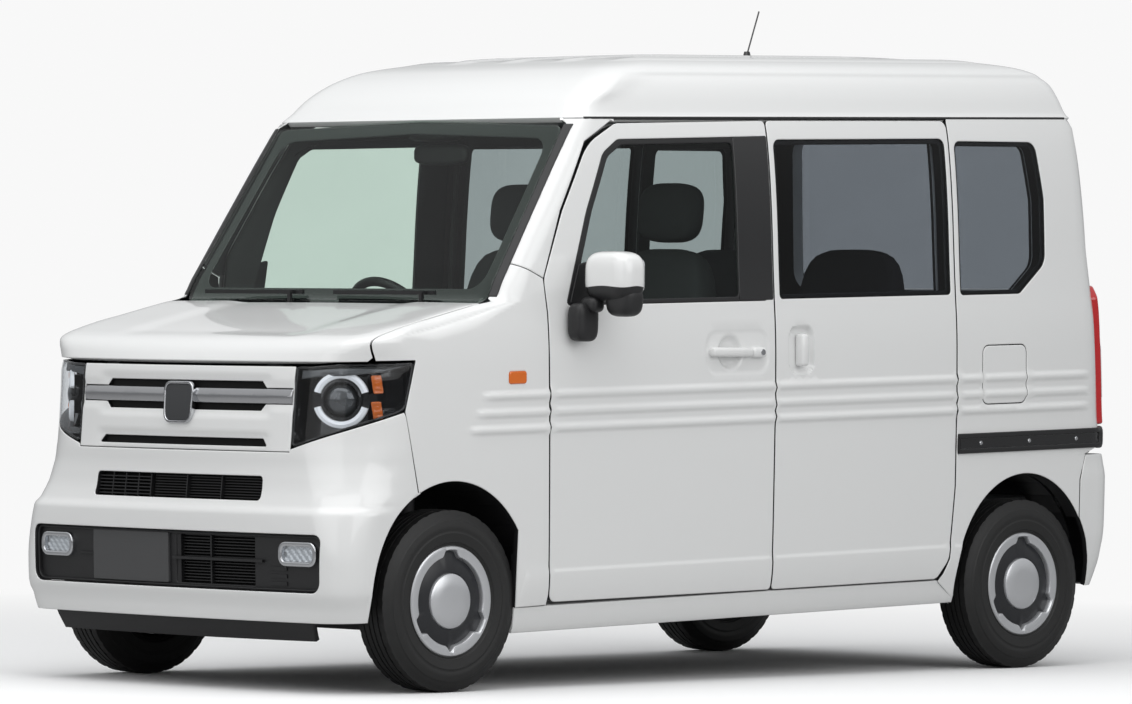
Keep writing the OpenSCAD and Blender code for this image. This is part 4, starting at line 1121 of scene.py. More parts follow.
class KEIVAN_OT_roof(bpy.types.Operator):
    """Builds the roof with its long beads and gutters."""
    bl_idname = "keivan.roof"
    bl_label = "Roof"

    def execute(self, context):
        s = context.scene.kei_van
        runs = np.unique(np.concatenate([
            np.linspace(run_of_z(GUTTER + 2.0), run_of_z(1905.0), 44),
            np.linspace(run_of_z(1905.0), RUN[-1], 26)]))
        rings = []
        for r in runs:
            g = {k: np.array([v]) for k, v in level(r).items()}
            end = g["l4"] + g["w"] - g["rr"]
            cuts = [(0, g["l1"], 16), (g["l1"], g["l2"], 8), (g["l2"], g["l3"], 34),
                    (g["l3"], g["l4"], 7), (g["l4"], end, 14)]
            a = np.concatenate([np.linspace(float(p[0] if np.ndim(p) else p),
                                            float(q[0]), n, endpoint=False) for p, q, n in cuts]
                               + [end])
            left = form(np.full(len(a), r), a)
            right = left[1:-1][::-1] * [-1, 1, 1]
            rings.append(np.concatenate([left, right]))
        n = len(rings[0])
        points = np.concatenate(rings)
        x, y = np.abs(points[:, 0]), points[:, 1]
        top = smooth(1893, 1906, points[:, 2] - RAKE * y)
        wave = np.cos(x / 118 * math.pi)
        along = smooth(HINGE + 431.5, HINGE + 531.5, y) * smooth(AXLE_R + 60, AXLE_R - 20, y)
        bead = 5.0 * top * smooth(0.35, 0.8, wave) * along
        points[:, 2] += bead * (x < 500)
        height = points[:, 2] - RAKE * y
        start = HINGE + 221.5 + 300 * smooth(1722, 1880, height)
        band = smooth(1862, 1846, height) * smooth(start - 30, start + 30, y)
        points[:, 0] -= np.sign(points[:, 0]) * 9 * band * smooth(400, 480, x) * smooth(
            GUTTER - 2, GUTTER + 14, height)
        faces = []
        gate = GATE_X - 24
        for k in range(len(rings) - 1):
            for i in range(n):
                j = (i + 1) % n
                q = (k * n + i, k * n + j, (k + 1) * n + j, (k + 1) * n + i)
                c = points[list(q)].mean(0)
                if c[1] > TAIL - 190 and abs(c[0]) < gate and c[2] < 1792 + RAKE * TAIL:
                    continue
                faces.append(q)
        last = (len(rings) - 1) * n
        half = n // 2
        for i in range(half):
            a, b = last + i, last + i + 1
            c, d = last + (n - i - 1) % n, last + (n - i) % n
            quad = [a, b, c, d]
            quad = [v for k, v in enumerate(quad) if v not in quad[:k]]
            if len(quad) > 2:
                faces.append(tuple(quad))
        o = closed_sheet("roof_skin", points, faces, white(s), 20)
        place(o, "body", "body_paint", "roof_panel")
        for side, flip in SIDES:
            line = [(TAIL - 180, GUTTER - 3), (HINGE + 210, GUTTER - 3)]
            back = [(HINGE + 210, GUTTER + 4), (TAIL - 180, GUTTER + 4)]
            o = panel("gutter_" + side, [flank_side(spaced(line + back, 30))], on_flank,
                      black(), thick=12, lift=1.2, mirror=flip, step=(60, 20), round_r=1)
            place(o, "body", "black_plastic")
        return {"FINISHED"}


class KEIVAN_OT_front_doors(bpy.types.Operator):
    """Builds the front doors with their glass, trim and handles."""
    bl_idname = "keivan.front_doors"
    bl_label = "Front doors"

    def execute(self, context):
        s = context.scene.kei_van
        ribs = rib_relief(s)

        def relief(uv):
            y, z = uv[:, 0], uv[:, 1]
            dish = np.hypot(y - HANDLE_Y, z - HANDLE_Z)
            field = np.hypot(np.maximum(np.abs(y - HANDLE_Y - 29) - 90, 0),
                             np.maximum(np.abs(z - HANDLE_Z) - 20, 0))
            return ribs(y, z) - 3.5 * smooth(52, 40, field) - 15 * smooth(57, 38, dish)

        for side, flip in SIDES:
            body = side + "_door"
            window = outline(FRONT_WINDOW, 14)
            o = panel("door_front_" + side, [outline(FRONT_DOOR, 18), window], on_side,
                      [white(s), black(), lining()], thick=40, relief=relief,
                      dense=((), RIB_ROWS), mirror=flip,
                      fine=[(HANDLE_Y - 127, HANDLE_Y + 185, HANDLE_Z - 72, HANDLE_Z + 72, 6)])
            place(o, body, "body_paint", "front_door_" + side)
            card = panel("door_card_" + side, [grown(FRONT_DOOR, -30, 30), grown(FRONT_WINDOW, 6, 30)],
                         on_side, [lining()], thick=13, lift=-41, mirror=flip, step=(80, 80))
            place(card, body, "body_paint")
            glass = panel("glass_front_" + side, [window], on_side,
                          clear("screen_glass", s.glass_tint), thick=5, lift=-7, gap=0.6,
                          mirror=flip, step=(60, 60))
            place(glass, body, "screen_glass", "door_glass_" + side)
            hole = outline([(HINGE + 118, BELT + 22, 10), (HINGE + 205, 1436, 400),
                            (HINGE + 284, 1600, 50), (HINGE + 346, 1636, 36),
                            (DOOR_GAP - 156, 1642, 16), (DOOR_GAP - 156, BELT + 22, 10)], 14)
            trim = panel("door_trim_" + side, [window, hole], on_side, black(), thick=9,
                         lift=-1.5, gap=1.0, mirror=flip, step=(30, 60))
            place(trim, body, "black_plastic")
            sail = outline([(HINGE + 100, BELT + 12, 4), (HINGE + 178, BELT + 12, 4),
                            (HINGE + 192, 1290, 6), (HINGE + 142, 1280, 4)], 12)
            corner = panel("door_sail_" + side, [sail], on_side, black(), thick=10, lift=0.5,
                           mirror=flip, step=(30, 30))
            place(corner, body, "black_plastic")
            x, y = HALF_W - 6, HANDLE_Y
            z = HANDLE_Z + RAKE * (y + 17)
            bar = block("handle_bar_" + side, (x - 6, y - 95, z - 14), (x + 24, y + 82, z + 14),
                        white(s), 9, 3)
            pad = block("handle_pad_" + side, (x - 10, y + 84, z - 16), (x + 22, y + 143, z + 16),
                        white(s), 10, 3)
            lock = turned("handle_lock_" + side, [(0, 24), (9, 24), (10, 22), (10, 8)],
                          (x, y + 123, z), chrome(), 24)
            handle = join("door_handle_" + side, [bar, pad, lock])
            if flip:
                to_right(handle)
            place(handle, body, "body_paint")
        return {"FINISHED"}


class KEIVAN_OT_sliding_doors(bpy.types.Operator):
    """Builds the sliding doors, their privacy glass, handles, and the rails behind them."""
    bl_idname = "keivan.sliding_doors"
    bl_label = "Sliding doors"

    def execute(self, context):
        s = context.scene.kei_van
        ribs = rib_relief(s)

        def relief(uv):
            y, z = uv[:, 0], uv[:, 1]
            dish = np.hypot(np.maximum(np.abs(y - SLIDE_HANDLE_Y) - 20, 0),
                            np.maximum(np.abs(z - HANDLE_Z) - 40, 0))
            return ribs(y, z) - 16 * smooth(36, 26, dish)

        for side, flip in SIDES:
            window = outline(SLIDING_WINDOW, 14)
            o = panel("door_slide_" + side, [outline(SLIDING_DOOR, 18), window], on_side,
                      [white(s), black(), lining()], thick=DOOR_T - 1, relief=relief,
                      dense=((), RIB_ROWS), mirror=flip,
                      fine=[(SLIDE_HANDLE_Y - 64, SLIDE_HANDLE_Y + 64, HANDLE_Z - 82, HANDLE_Z + 82, 6)])
            place(o, "body", "body_paint", "sliding_door_" + side)
            glass = panel("glass_slide_" + side, [window], on_side,
                          clear("privacy_glass", s.privacy_tint), thick=5, lift=-3, gap=0.6,
                          mirror=flip, step=(60, 60))
            place(glass, "body", "privacy_glass", *(["sliding_door_glass"] if not flip else []))
            seal = panel("glass_slide_seal_" + side, [window, grown(SLIDING_WINDOW, -16, 14)],
                         on_side, gloss_black(), thick=3, lift=-9, gap=0.6, mirror=flip)
            place(seal, "body", "black_plastic")
            band = panel("pillar_band_" + side, [outline([
                (DOOR_GAP - 154, BELT + 8, 8), (DOOR_GAP - 154, 1660, 8),
                (DOOR_GAP - 5, 1664, 6), (DOOR_GAP - 5, BELT + 8, 6)], 20)], on_side,
                         gloss_black(), thick=3, lift=0.4, mirror=flip, step=(60, 60), round_r=1)
            place(band, side + "_door", "black_plastic")
            x, y = HALF_W - 4, SLIDE_HANDLE_Y
            z = HANDLE_Z + RAKE * y
            bar = block("slide_handle_bar_" + side, (x - 14, y - 17, z - 50), (x + 22, y + 16, z + 50),
                        white(s), 10, 3)
            if flip:
                to_right(bar)
            place(bar, "body", "body_paint")
            rail = outline(oblong(SLIDE_END + 8, TAIL - 22, 660, 724, 3), 24)
            groove = outline(oblong(SLIDE_END + 8.5, TAIL - 60, 676, 708, 2), 24)
            channel = panel("rail_" + side, [flank_side(rail), flank_side(groove)], on_flank, black(),
                            thick=7, lift=7.5, mirror=flip, step=(60, 20), gap=0.5)
            floor = panel("rail_floor_" + side, [flank_side(groove)], on_flank, gloss_black(),
                          thick=2, lift=2.2, mirror=flip, step=(60, 20), round_r=0.5)
            parts = [channel, floor]
            for y in (1060, 1290, 1520):
                parts.append(turned(f"rail_bolt_{side}_{y}", [(0, 3), (5, 3), (7, 1), (7, -4)],
                                    (on_side(np.array([[y, 692.0]]))[0] + [3.5, 0, 0]), chrome(), 16))
            cap = pillow("rail_cap_" + side, on_side(np.array([[TAIL - 34, 692.0]]))[0] + [-1, 0, 0],
                         np.array([10, 18, 36]), 4, [gloss_black()], rows=12, columns=20)
            parts.append(cap)
            if flip:
                to_right(*parts[2:])
            rod = join("slide_rail_" + side, parts)
            place(rod, "body", "black_plastic", *(["slide_rails"] if not flip else []))
        return {"FINISHED"}


class KEIVAN_OT_tail(bpy.types.Operator):
    """Builds the tailgate, its glass, the tail lamps, the rear bumper and the fuel flap."""
    bl_idname = "keivan.tail"
    bl_label = "Tail"

    def execute(self, context):
        s = context.scene.kei_van
        paint = white(s)
        edge = [(-GATE_X, 650, 50), (GATE_X, 650, 50), (GATE_X, BELT, 0), (GATE_X - 24, 1792, 90),
                (24 - GATE_X, 1792, 90), (-GATE_X, BELT, 0)]
        window = [(-GATE_X + 62, BELT + 16, 60), (GATE_X - 62, BELT + 16, 60),
                  (GATE_X - 88, 1680, 70), (88 - GATE_X, 1680, 70)]

        def shape(uv):
            x, z = np.abs(uv[:, 0]), uv[:, 1]
            plate = smooth(330, 300, x) * smooth(860, 880, z) * smooth(1060, 1040, z)
            return -12 * plate

        o = panel("tailgate_skin", [outline(edge, 20), outline(window, 16)], on_tail,
                  [paint, paint, lining()], thick=48, relief=shape, step=(24, 20), gap=0.5)
        place(o, "tailgate_lid", "body_paint", "tailgate")
        shade = clear("privacy_glass", s.privacy_tint)
        o = panel("tailgate_window", [outline(window, 16)], on_tail, shade, thick=5, lift=-3,
                  gap=0.6, step=(60, 60))
        place(o, "tailgate_lid", "privacy_glass", "tailgate_glass")
        for side, flip in SIDES:
            lens = [(GATE_X + 14, 730, 8), (HALF_W - 41, 730, 8), (HALF_W - 41, 1140, 40),
                    (GATE_X + 20, 1204, 20)]
            clear_part = oblong(GATE_X + 14, HALF_W - 41, 816, 987, 4)
            red = finish("red_lens", (0.55, 0.012, 0.015), 0.1, coat=0.9)
            silver = finish("lens_silver", (0.75, 0.76, 0.78), 0.15, coat=0.8)
            o = panel("tail_lamp_" + side, [outline(lens, 12)], on_tail, red, thick=26, lift=26,
                      mirror=flip, step=(14, 24), round_r=6)
            w = panel("tail_lamp_bar_" + side, [grown(clear_part, -3, 12)], on_tail, silver, thick=4,
                      lift=27.5, mirror=flip, step=(14, 24), round_r=1)
            lamp = join("tail_lamp_set_" + side, [o, w])
            place(lamp, "body", "red_lens", *(["tail_lamps"] if not flip else []))

        def behind(uv):
            """u is the length from the tail's centre."""
            run = run_of_z(uv[:, 1])
            g = level(run)
            total = g["l4"] + g["w"] - g["rr"]
            side = np.where(uv[:, 0] < 0, -1.0, 1.0)
            return form(run, side * (total - np.abs(uv[:, 0])))

        def from_tail_centre(points):
            """Side-view points as points of behind."""
            p = np.asarray(points, float)
            g = level(run_of_z(p[:, 1]))
            return np.stack([g["l4"] + g["w"] - g["rr"] - length_at_y(g, p[:, 0]), p[:, 1]], 1)

        seam_y = AXLE_R + ARCH_A - 62
        wheel = arch_points(AXLE_R, -8, arch_angle(AXLE_R, seam_y + 1), count=24)
        wheel = [p for p in wheel if p[1] > 222]
        half = from_tail_centre([(AXLE_R + 319, 215)] + wheel
                                + spaced([(seam_y + 2, 560), (seam_y + 28, 638), (TAIL - 52, 638)],
                                         14, closed=False).tolist())
        first, last = half[0], half[-1]
        bottom = [(u, 215) for u in np.linspace(first[0] - 18, 0, 40)][:-1]
        top = [(u, 638) for u in np.linspace(last[0] - 18, 0, 40)]
        loop = np.array(list(half) + top)
        ring = np.concatenate([loop, (np.array(list(loop[:-1])) * [-1, 1])[::-1],
                               np.array(bottom) * [-1, 1], [(0, 215)], np.array(bottom)[::-1]])

        def step_relief(uv):
            z = uv[:, 1]
            return 3 * smooth(600, 575, z) * smooth(330, 370, z)

        o = panel("bumper_rear", [ring], behind, [paint, black(), black()], thick=20,
                  relief=step_relief, step=(24, 20))
        place(o, "body", "body_paint", "rear_bumper")
        ribs = rib_relief(s)

        def hinged(y, z):
            """The ribs start a little behind the hinge, so that they clear the panel ahead of it."""
            return ribs(y, z) * smooth(FLAP_Y - 100, FLAP_Y - 84, y)

        o = panel("fuel_flap_skin", [flank_side(outline(FLAP, 14))], on_flank, [paint, black(), black()],
                  thick=9, relief=on_left(hinged), dense=([(FLAP_Y - 102, FLAP_Y - 80, 5)], RIB_ROWS),
                  step=(20, 20))
        place(o, "flap", "body_paint", "fuel_flap")
        return {"FINISHED"}


def bars(name, items, where, material):
    """Straight bars that follow the body: (u0, u1, v0, v1, lift, depth) each."""
    points, faces = [], []
    for u0, u1, v0, v1, lift, depth in items:
        along = max(2, int(abs(u1 - u0) / 40) + 2)
        u = np.linspace(u0, u1, along)
        ring = []
        for v, d in ((v0, lift), (v1, lift), (v1, lift - depth), (v0, lift - depth)):
            uv = np.stack([u, np.full(along, v)], 1)
            p = where(uv)
            ring.append(p + surface_normals(where, uv, p) * d)
        base = len(points)
        points += list(np.concatenate(ring))
        for k in range(4):
            for i in range(along - 1):
                a, b = base + k * along + i, base + ((k + 1) % 4) * along + i
                faces.append((a, a + 1, b + 1, b))
        for i, order in ((0, (0, 1, 2, 3)), (along - 1, (3, 2, 1, 0))):
            faces.append(tuple(base + k * along + i for k in order))
    return make_mesh(name, points, faces, material, angle=30)


def pillow(name, centre, half, power, materials, split=None, turn=0.0, rows=26, columns=44,
           seams=(), taper=0.0):
    """Crowned closed form, as a rounded box; split gives the height of a second material."""
    points, faces, mats = [], [], []
    for i in range(rows + 1):
        phi = -math.pi / 2 + math.pi * i / rows
        for j in range(columns):
            t = 2 * math.pi * j / columns
            d = np.array([math.cos(phi) * math.cos(t), math.cos(phi) * math.sin(t), math.sin(phi)])
            r = (np.abs(d)**power).sum()**(-1 / power)
            p = d * r
            for axis, at, deep in seams:
                p = p * (1 - deep * math.exp(-((p[axis] - at) / 0.035)**2))
            p[0] *= 1 - taper * (p[2] + 1) / 2
            points.append(p * half)
    turned_by = Matrix.Rotation(math.radians(turn), 3, "X")
    points = [np.array(turned_by @ Vector(p)) + centre for p in points]
    for i in range(rows):
        for j in range(columns):
            k = (j + 1) % columns
            q = (i * columns + j, i * columns + k, (i + 1) * columns + k, (i + 1) * columns + j)
            faces.append(q)
            high = sum(points[n][2] for n in q) / 4
            mats.append(1 if split is not None and high < split else 0)
    return make_mesh(name, points, faces, materials, mats, angle=60)


def painted_shade_black():
    """Near-black sheet behind the openings of the grille and the bumper: painted shade for the dark depth
    behind them.
    """
    return finish("grille_painted_shade", (0.004, 0.004, 0.004), 0.95)


def lamp_cover():
    """Clear pane of the headlamps and fog lamps."""
    return clear("lamp_cover", (0.93, 0.94, 0.95))


def fog_line(side):
    """Corners of a fog lamp, for outline; side is 1 on the left and -1 on the right."""
    return oblong(side * 535 - 68, side * 535 + 68, 422, 478, 20)


def build_grille(s):
    """Painted frame of the grille, the bar across it and the plain shield in its middle."""
    paint, trim = white(s), black()
    edge = LAMP_IN - 2
    frame_line = oblong(-edge, edge, 746, 995, 3)
    opening = [(-463, 883, 1), (-354, 883, 3), (-336, 864, 3), (336, 864, 3), (354, 883, 3),
               (463, 883, 1), (463, 931, 1), (354, 931, 3), (336, 951, 3), (-336, 951, 3),
               (-354, 931, 3), (-463, 931, 1)]
    low = [(-372, 760, 3), (372, 760, 3), (352, 783, 3), (-352, 783, 3)]

    def scoop(uv):
        """Bevels that run down to the openings."""
        x, z = np.abs(uv[:, 0]), uv[:, 1]
        middle = smooth(395, 345, x)
        return -7 * middle * (smooth(976, 950, z) * smooth(900, 930, z)
                              + smooth(838, 862, z) * smooth(910, 880, z)
                              + smooth(806, 786, z)) - 4 * (1 - middle) * smooth(955, 931, z) \
            * smooth(858, 883, z)

    o = panel("grille_frame", [outline(frame_line, 14), outline(opening, 14), outline(low, 14)],
              on_nose, [paint, trim, trim], thick=18, lift=-2, relief=scoop, step=(20, 7))
    bar = panel("grille_bar", [outline(oblong(-461, 461, 885, 929, 2), 14)], on_nose,
                finish("smoked_chrome", (0.50, 0.505, 0.52), 0.14, metal=1.0), thick=10,
                lift=-9, relief=lambda uv: 8 * (1 - ((uv[:, 1] - 907) / 24)**2), step=(30, 6))
    # Painted shade: a near-black sheet behind the grille's openings stands in for the dark depth there.
    back = panel("grille_back", [outline(oblong(-455, 455, 750, 985, 2), 40)], on_nose, painted_shade_black(),
                 thick=4, lift=-24, step=(80, 80))
    badge = [(-60, 822, 30), (60, 822, 30), (66, 946, 26), (-66, 946, 26)]
    rim = panel("badge_rim", [outline(badge, 6), grown(badge, -8, 6)], on_nose, chrome(),
                thick=16, lift=9, step=(12, 12), round_r=3)
    plate = panel("badge_plate", [grown(badge, -8, 6)], on_nose, dark(), thick=10, lift=4,
                  step=(16, 16), relief=lambda uv: 4 - 0.001 * (uv[:, 1] - 884)**2)
    for piece in (o, bar, back, rim, plate):
        place(piece, "body", "body_paint" if piece is o else "black_plastic")
    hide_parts("front_grille")


def build_insert(s):
    """Dark insert of the bumper with its fins, plate blank and frame, and the air dam."""
    paint, trim = white(s), black()
    slot_fins = [(-362, -118, z, z + 3, -14, 14) for z in np.arange(610, 668, 10)]
    slot_fins += [(-110, 362, z, z + 2.4, -22, 12) for z in np.arange(610, 668, 8)]
    slot_fins += [(x, x + 4, 604, 672, -14, 14) for x in (-300, -240, -180, -122, 40, 190)]
    slot = bars("slot_fins", slot_fins, on_nose, trim)
    # Painted shade: a near-black sheet behind the slot's fins stands in for the dark depth there.
    slot_back = panel("slot_back", [outline(oblong(-378, 378, 594, 682, 4), 40)], on_nose, painted_shade_black(),
                      thick=4, lift=-38, step=(60, 60))
    mouth = [(-631, 339, 33), (631, 339, 33), (634, 507, 23), (-634, 507, 23)]
    window = oblong(14, 352, 352, 496, 4)
    insert = panel("insert_panel", [from_nose(outline(mouth, 14)), from_nose(outline(window, 14)),
                                    from_nose(outline(fog_line(-1), 8)),
                                    from_nose(outline(fog_line(1), 8))],
                   on_wall, [trim, trim, trim], thick=20, lift=-12, step=(26, 26))
    blank = panel("number_plate_blank", [outline(oblong(-360, -14, 350, 500, 4), 20)], on_nose,
                  finish("plate_grey", (0.062, 0.063, 0.065), 0.45, bump=0.1),
                  thick=10, lift=-3, step=(60, 60))
    fins = [(18, 350, z, z + 3, -24, 16) for z in np.arange(358, 494, 9)]
    fins += [(158, 164, 352, 496, -16, 20), (14, 32, 352, 496, -14, 16)]
    fins += [(6, 392, 422, 430, -2, 24), (-430, -362, 424, 430, -6, 8)]
    fins += [(416, 486, z, z + 11, -9, 6) for z in (356, 378, 400)]
    mouth_fins = bars("mouth_fins", fins, on_nose, trim)
    # Painted shade: a near-black sheet behind the mouth's fins stands in for the dark depth there.
    mouth_back = panel("mouth_back", [outline(oblong(0, 365, 345, 503, 4), 40)], on_nose, painted_shade_black(),
                       thick=4, lift=-44, step=(60, 60))
    lower = join("bumper_insert_set", [insert, blank, mouth_fins, mouth_back, slot, slot_back])
    place(lower, "body", "dark_plastic", "bumper_insert")
    surround = panel("mouth_frame", [from_nose(outline(mouth, 14)), from_nose(grown(mouth, -9, 14))],
                     on_wall, trim, thick=12, lift=-1, step=(20, 20), gap=0.5)
    place(surround, "body", "black_plastic")
    eye = [(395 + 20 * math.cos(t), 552 + 21 * math.sin(t))
           for t in np.linspace(0, 2 * math.pi, 28, endpoint=False)]
    cover = panel("tow_eye_cover", [np.array(eye)], on_nose, paint, thick=4, lift=0.8,
                  step=(12, 12), round_r=0.6)
    place(cover, "body", "body_paint")
    dam = panel("air_dam_skin", [from_nose(spaced([
        (-560, 186), (560, 186), (575, 252), (-575, 252)], 30))], on_wall, trim, thick=16, lift=-17,
                step=(50, 20))
    place(dam, "body", "black_plastic", "air_dam")


def build_fog_lamps():
    """Fog lamps with their rims, bowls and panes."""
    # The faceted bowls glow faintly (emit): a painted reflection, standing in for the bright surroundings
    # that their metal would mirror.
    facets = finish("lamp_facets_painted_glow", (0.62, 0.64, 0.66), 0.12, metal=0.4, emit=0.12)
    pieces = []
    for side in (-1, 1):
        line = fog_line(side)
        rims = [from_nose(grown(line, 9, 6)), from_nose(grown(line, -6, 6))]
        pieces.append(panel(f"fog_rim_{side}", rims, on_wall, chrome(), thick=14, lift=1,
                            step=(10, 10), round_r=4))
        pieces.append(panel(f"fog_bowl_{side}", [from_nose(grown(line, 2, 8))], on_wall, facets,
                            thick=5, lift=-16, step=(5, 5),
                            relief=lambda uv: 4 * np.sin(uv[:, 0] / 4.0) * np.sin(uv[:, 1] / 4.0)))
        pieces.append(panel(f"fog_pane_{side}", [from_nose(grown(line, -8, 8))], on_wall, lamp_cover(),
                            thick=3, lift=-8, step=(20, 20)))
    fogs = join("fog_lamp_set", pieces)
    place(fogs, "body", "lamp", "fog_lamps")


def lamp_loop():
    """Outline of the left headlamp, in on_wall points."""
    lamp = list(from_nose(spaced([(LAMP_IN + 1, 990), (LAMP_IN + 1, 766)], 10, closed=False)))
    lamp += lamp_edge()[1:-1]
    lamp += list(from_side(spaced([(NOSE + 262, 866), (NOSE + 272, 880),
                                   (NOSE + 298, 998), (NOSE + 286, 1004)], 10, closed=False)))
    lamp += list(from_nose([(HALF_W - 120, 1002), (LAMP_IN + 60, 996), (LAMP_IN + 12, 995)]))
    return np.array(lamp)


def build_headlamp(side, flip):
    """Headlamp with its halo, projector, turn lamps, ribs and pane."""
    lamp, gloss, pane = lamp_loop(), gloss_black(), lamp_cover()
    ring_white = finish("halo", (0.85, 0.87, 0.9), 0.25, coat=0.5, emit=0.25)
    counter = lamp if signed_area(lamp) > 0 else lamp[::-1]
    bowl = panel("lamp_bowl_" + side, [lamp], on_wall, [gloss, gloss, gloss], thick=4,
                 lift=-70, step=(30, 30), mirror=flip)
    border = panel("lamp_border_" + side, [lamp, inset(counter, 7)], on_wall,
                   [gloss, gloss, gloss], thick=70, lift=-3, step=(14, 14), mirror=flip)
    cover = panel("lamp_pane_" + side, [lamp], on_wall, pane, thick=3, lift=-0.5,
                  step=(22, 22), gap=0.4, mirror=flip)
    brow = panel("lamp_brow_" + side, [np.concatenate([
        from_nose([(LAMP_IN + 14, 958), (LAMP_IN + 70, 966), (HALF_W - 120, 968)]),
        from_side([(NOSE + 110, 968), (NOSE + 200, 976), (NOSE + 286, 994)]),
        from_nose([(HALF_W - 120, 994), (LAMP_IN + 70, 988), (LAMP_IN + 14, 986)])])],
        on_wall, finish("lamp_grey", (0.16, 0.165, 0.17), 0.25, metal=0.6), thick=30,
        lift=-14, step=(20, 12), mirror=flip)
    glow = [panel(f"lamp_amber_{side}_{i}", [from_side(outline([
        (NOSE + 176, z, 4), (NOSE + 204, z + 2, 4), (NOSE + 196, z + 54, 4),
        (NOSE + 168, z + 54, 4)], 10))], on_wall, amber(), thick=6, lift=-16, step=(6, 6),
        mirror=flip, relief=lambda uv: 1.5 * np.sin(uv[:, 1] / 2.2)) for i, z in
        enumerate((914, 838))]
    ribs = bars("lamp_ribs_" + side, [(NOSE + 214 + 9 * i, NOSE + 217 + 9 * i, 872, 962, -24, 12)
                                      for i in range(7)], on_side, gloss)
    turn = math.radians(40)
    axis = np.array([math.sin(turn), -math.cos(turn), 0])
    across = np.array([math.cos(turn), math.sin(turn), 0])
    y = NOSE + 126.5
    centre = np.array([HALF_W - 136.5, y, 897 + RAKE * y])

    def disc(name, profile, material, start=0, stop=360, count=56):
        """Turned form facing out of the lamp, over part of a turn."""
        pts, fcs = [], []
        full = stop - start >= 360
        angles = np.radians(np.linspace(start, stop, count, endpoint=not full))
        for r, d in profile:
            for t in angles:
                pts.append(centre + axis * d + r * (across * math.cos(t)
                                                    + np.array([0, 0, 1]) * math.sin(t)))
        n, m = len(angles), len(profile)
        for k in range(m - 1 if full else m):
            for i in range(n if full else n - 1):
                j, l = (i + 1) % n, (k + 1) % m
                fcs.append((k * n + i, k * n + j, l * n + j, l * n + i))
        if not full:
            fcs += [tuple(k * n for k in range(m)), tuple(k * n + n - 1 for k in range(m))[::-1]]
        return make_mesh(name, pts, fcs, material, angle=35)

    halo = [(84, -8), (82, 2), (73, 6), (64, 2), (62, -8)]
    tube = [(58, -30), (60, 0), (54, 2), (47, -8), (46, -16)]
    eye_glass = [(46, -14), (40, -2), (28, 6), (12, 10), (0.5, 11)]
    lens = [disc("halo_low_" + side, halo, ring_white, 197, 343),
            disc("halo_high_" + side, halo, ring_white, 17, 163),
            disc("projector_" + side, tube, gloss),
            disc("projector_eye_" + side, eye_glass,
                 finish("projector_glass", (0.10, 0.105, 0.11), 0.05, metal=0.6, coat=1.0)),
            disc("lamp_plate_" + side, [(84, -10), (60, -12)], gloss)]
    if flip:
        to_right(ribs, *lens)
    whole = join("headlamp_" + side, [bowl, border, brow, ribs] + glow + lens + [cover])
    place(whole, "body", "lamp", *(["headlamps"] if not flip else []))


class KEIVAN_OT_face(bpy.types.Operator):
    """Builds the grille, the bumper insert, the fog lamps and the headlamps."""
    bl_idname = "keivan.face"
    bl_label = "Grille and lamps"

    def execute(self, context):
        s = context.scene.kei_van
        build_grille(s)
        build_insert(s)
        build_fog_lamps()
        for side, flip in SIDES:
            build_headlamp(side, flip)
        return {"FINISHED"}


def build_tyre(name, body, centre, out, depth):
    """Tyre with grooves of a depth; out is 1 on the left and -1 on the right."""
    rubber = finish("tyre_rubber", (0.009, 0.009, 0.009), 0.55, bump=0.3, bump_scale=500)
    crown = TYRE_R - 0.3
    side = [(152.5, -54), (158, -61), (166, -65), (168, -63.5), (172, -65), (174, -68), (200, -72),
            (203, -70.6), (209, -70.6), (212, -72), (222, -71.5), (236, -68.6), (238, -66.4),
            (242, -65), (250, -62), (258, -57)]
    tread = []
    for a, b in ((-55, -33), (-29, -11), (-7, 7), (11, 29), (33, 55)):
        drop = [0.9 if abs(v) > 50 else 0 for v in (a, b)]
        tread += [(crown - depth, a), (crown - drop[0] - 0.2, a + 0.6),
                  (crown - drop[1] - 0.2, b - 0.6), (crown - depth, b)]
    profile = side + tread[1:-1] + [(r, -x) for r, x in side[::-1]]
    profile += [(152.5, 40), (152.5, -40)]
    count = 180
    shoulder_rows = [i for i, (r, x) in enumerate(profile) if r > 255 and 30 < abs(x) < 60]
    pts, fcs = [], []
    for row, (r, x) in enumerate(profile):
        for k in range(count):
            t = 2 * math.pi * (k + (0.35 * x / 20 if abs(x) < 30 else 0)) / count
            cut = 2.2 if row in shoulder_rows and k % 5 == 0 else 0
            pts.append((centre[0] + out * x, centre[1] + (r - cut) * math.cos(t),
                        centre[2] + (r - cut) * math.sin(t)))
    n = len(profile)
    for i in range(n):
        for k in range(count):
            a, b = i * count, ((i + 1) % n) * count
            j = (k + 1) % count
            q = (a + k, a + j, b + j, b + k)
            fcs.append(q if out > 0 else q[::-1])
    tyre = make_mesh("tread_tyre_" + name, pts, fcs, rubber, angle=32)
    place(tyre, body, "tyre_rubber", "tyre_" + name)


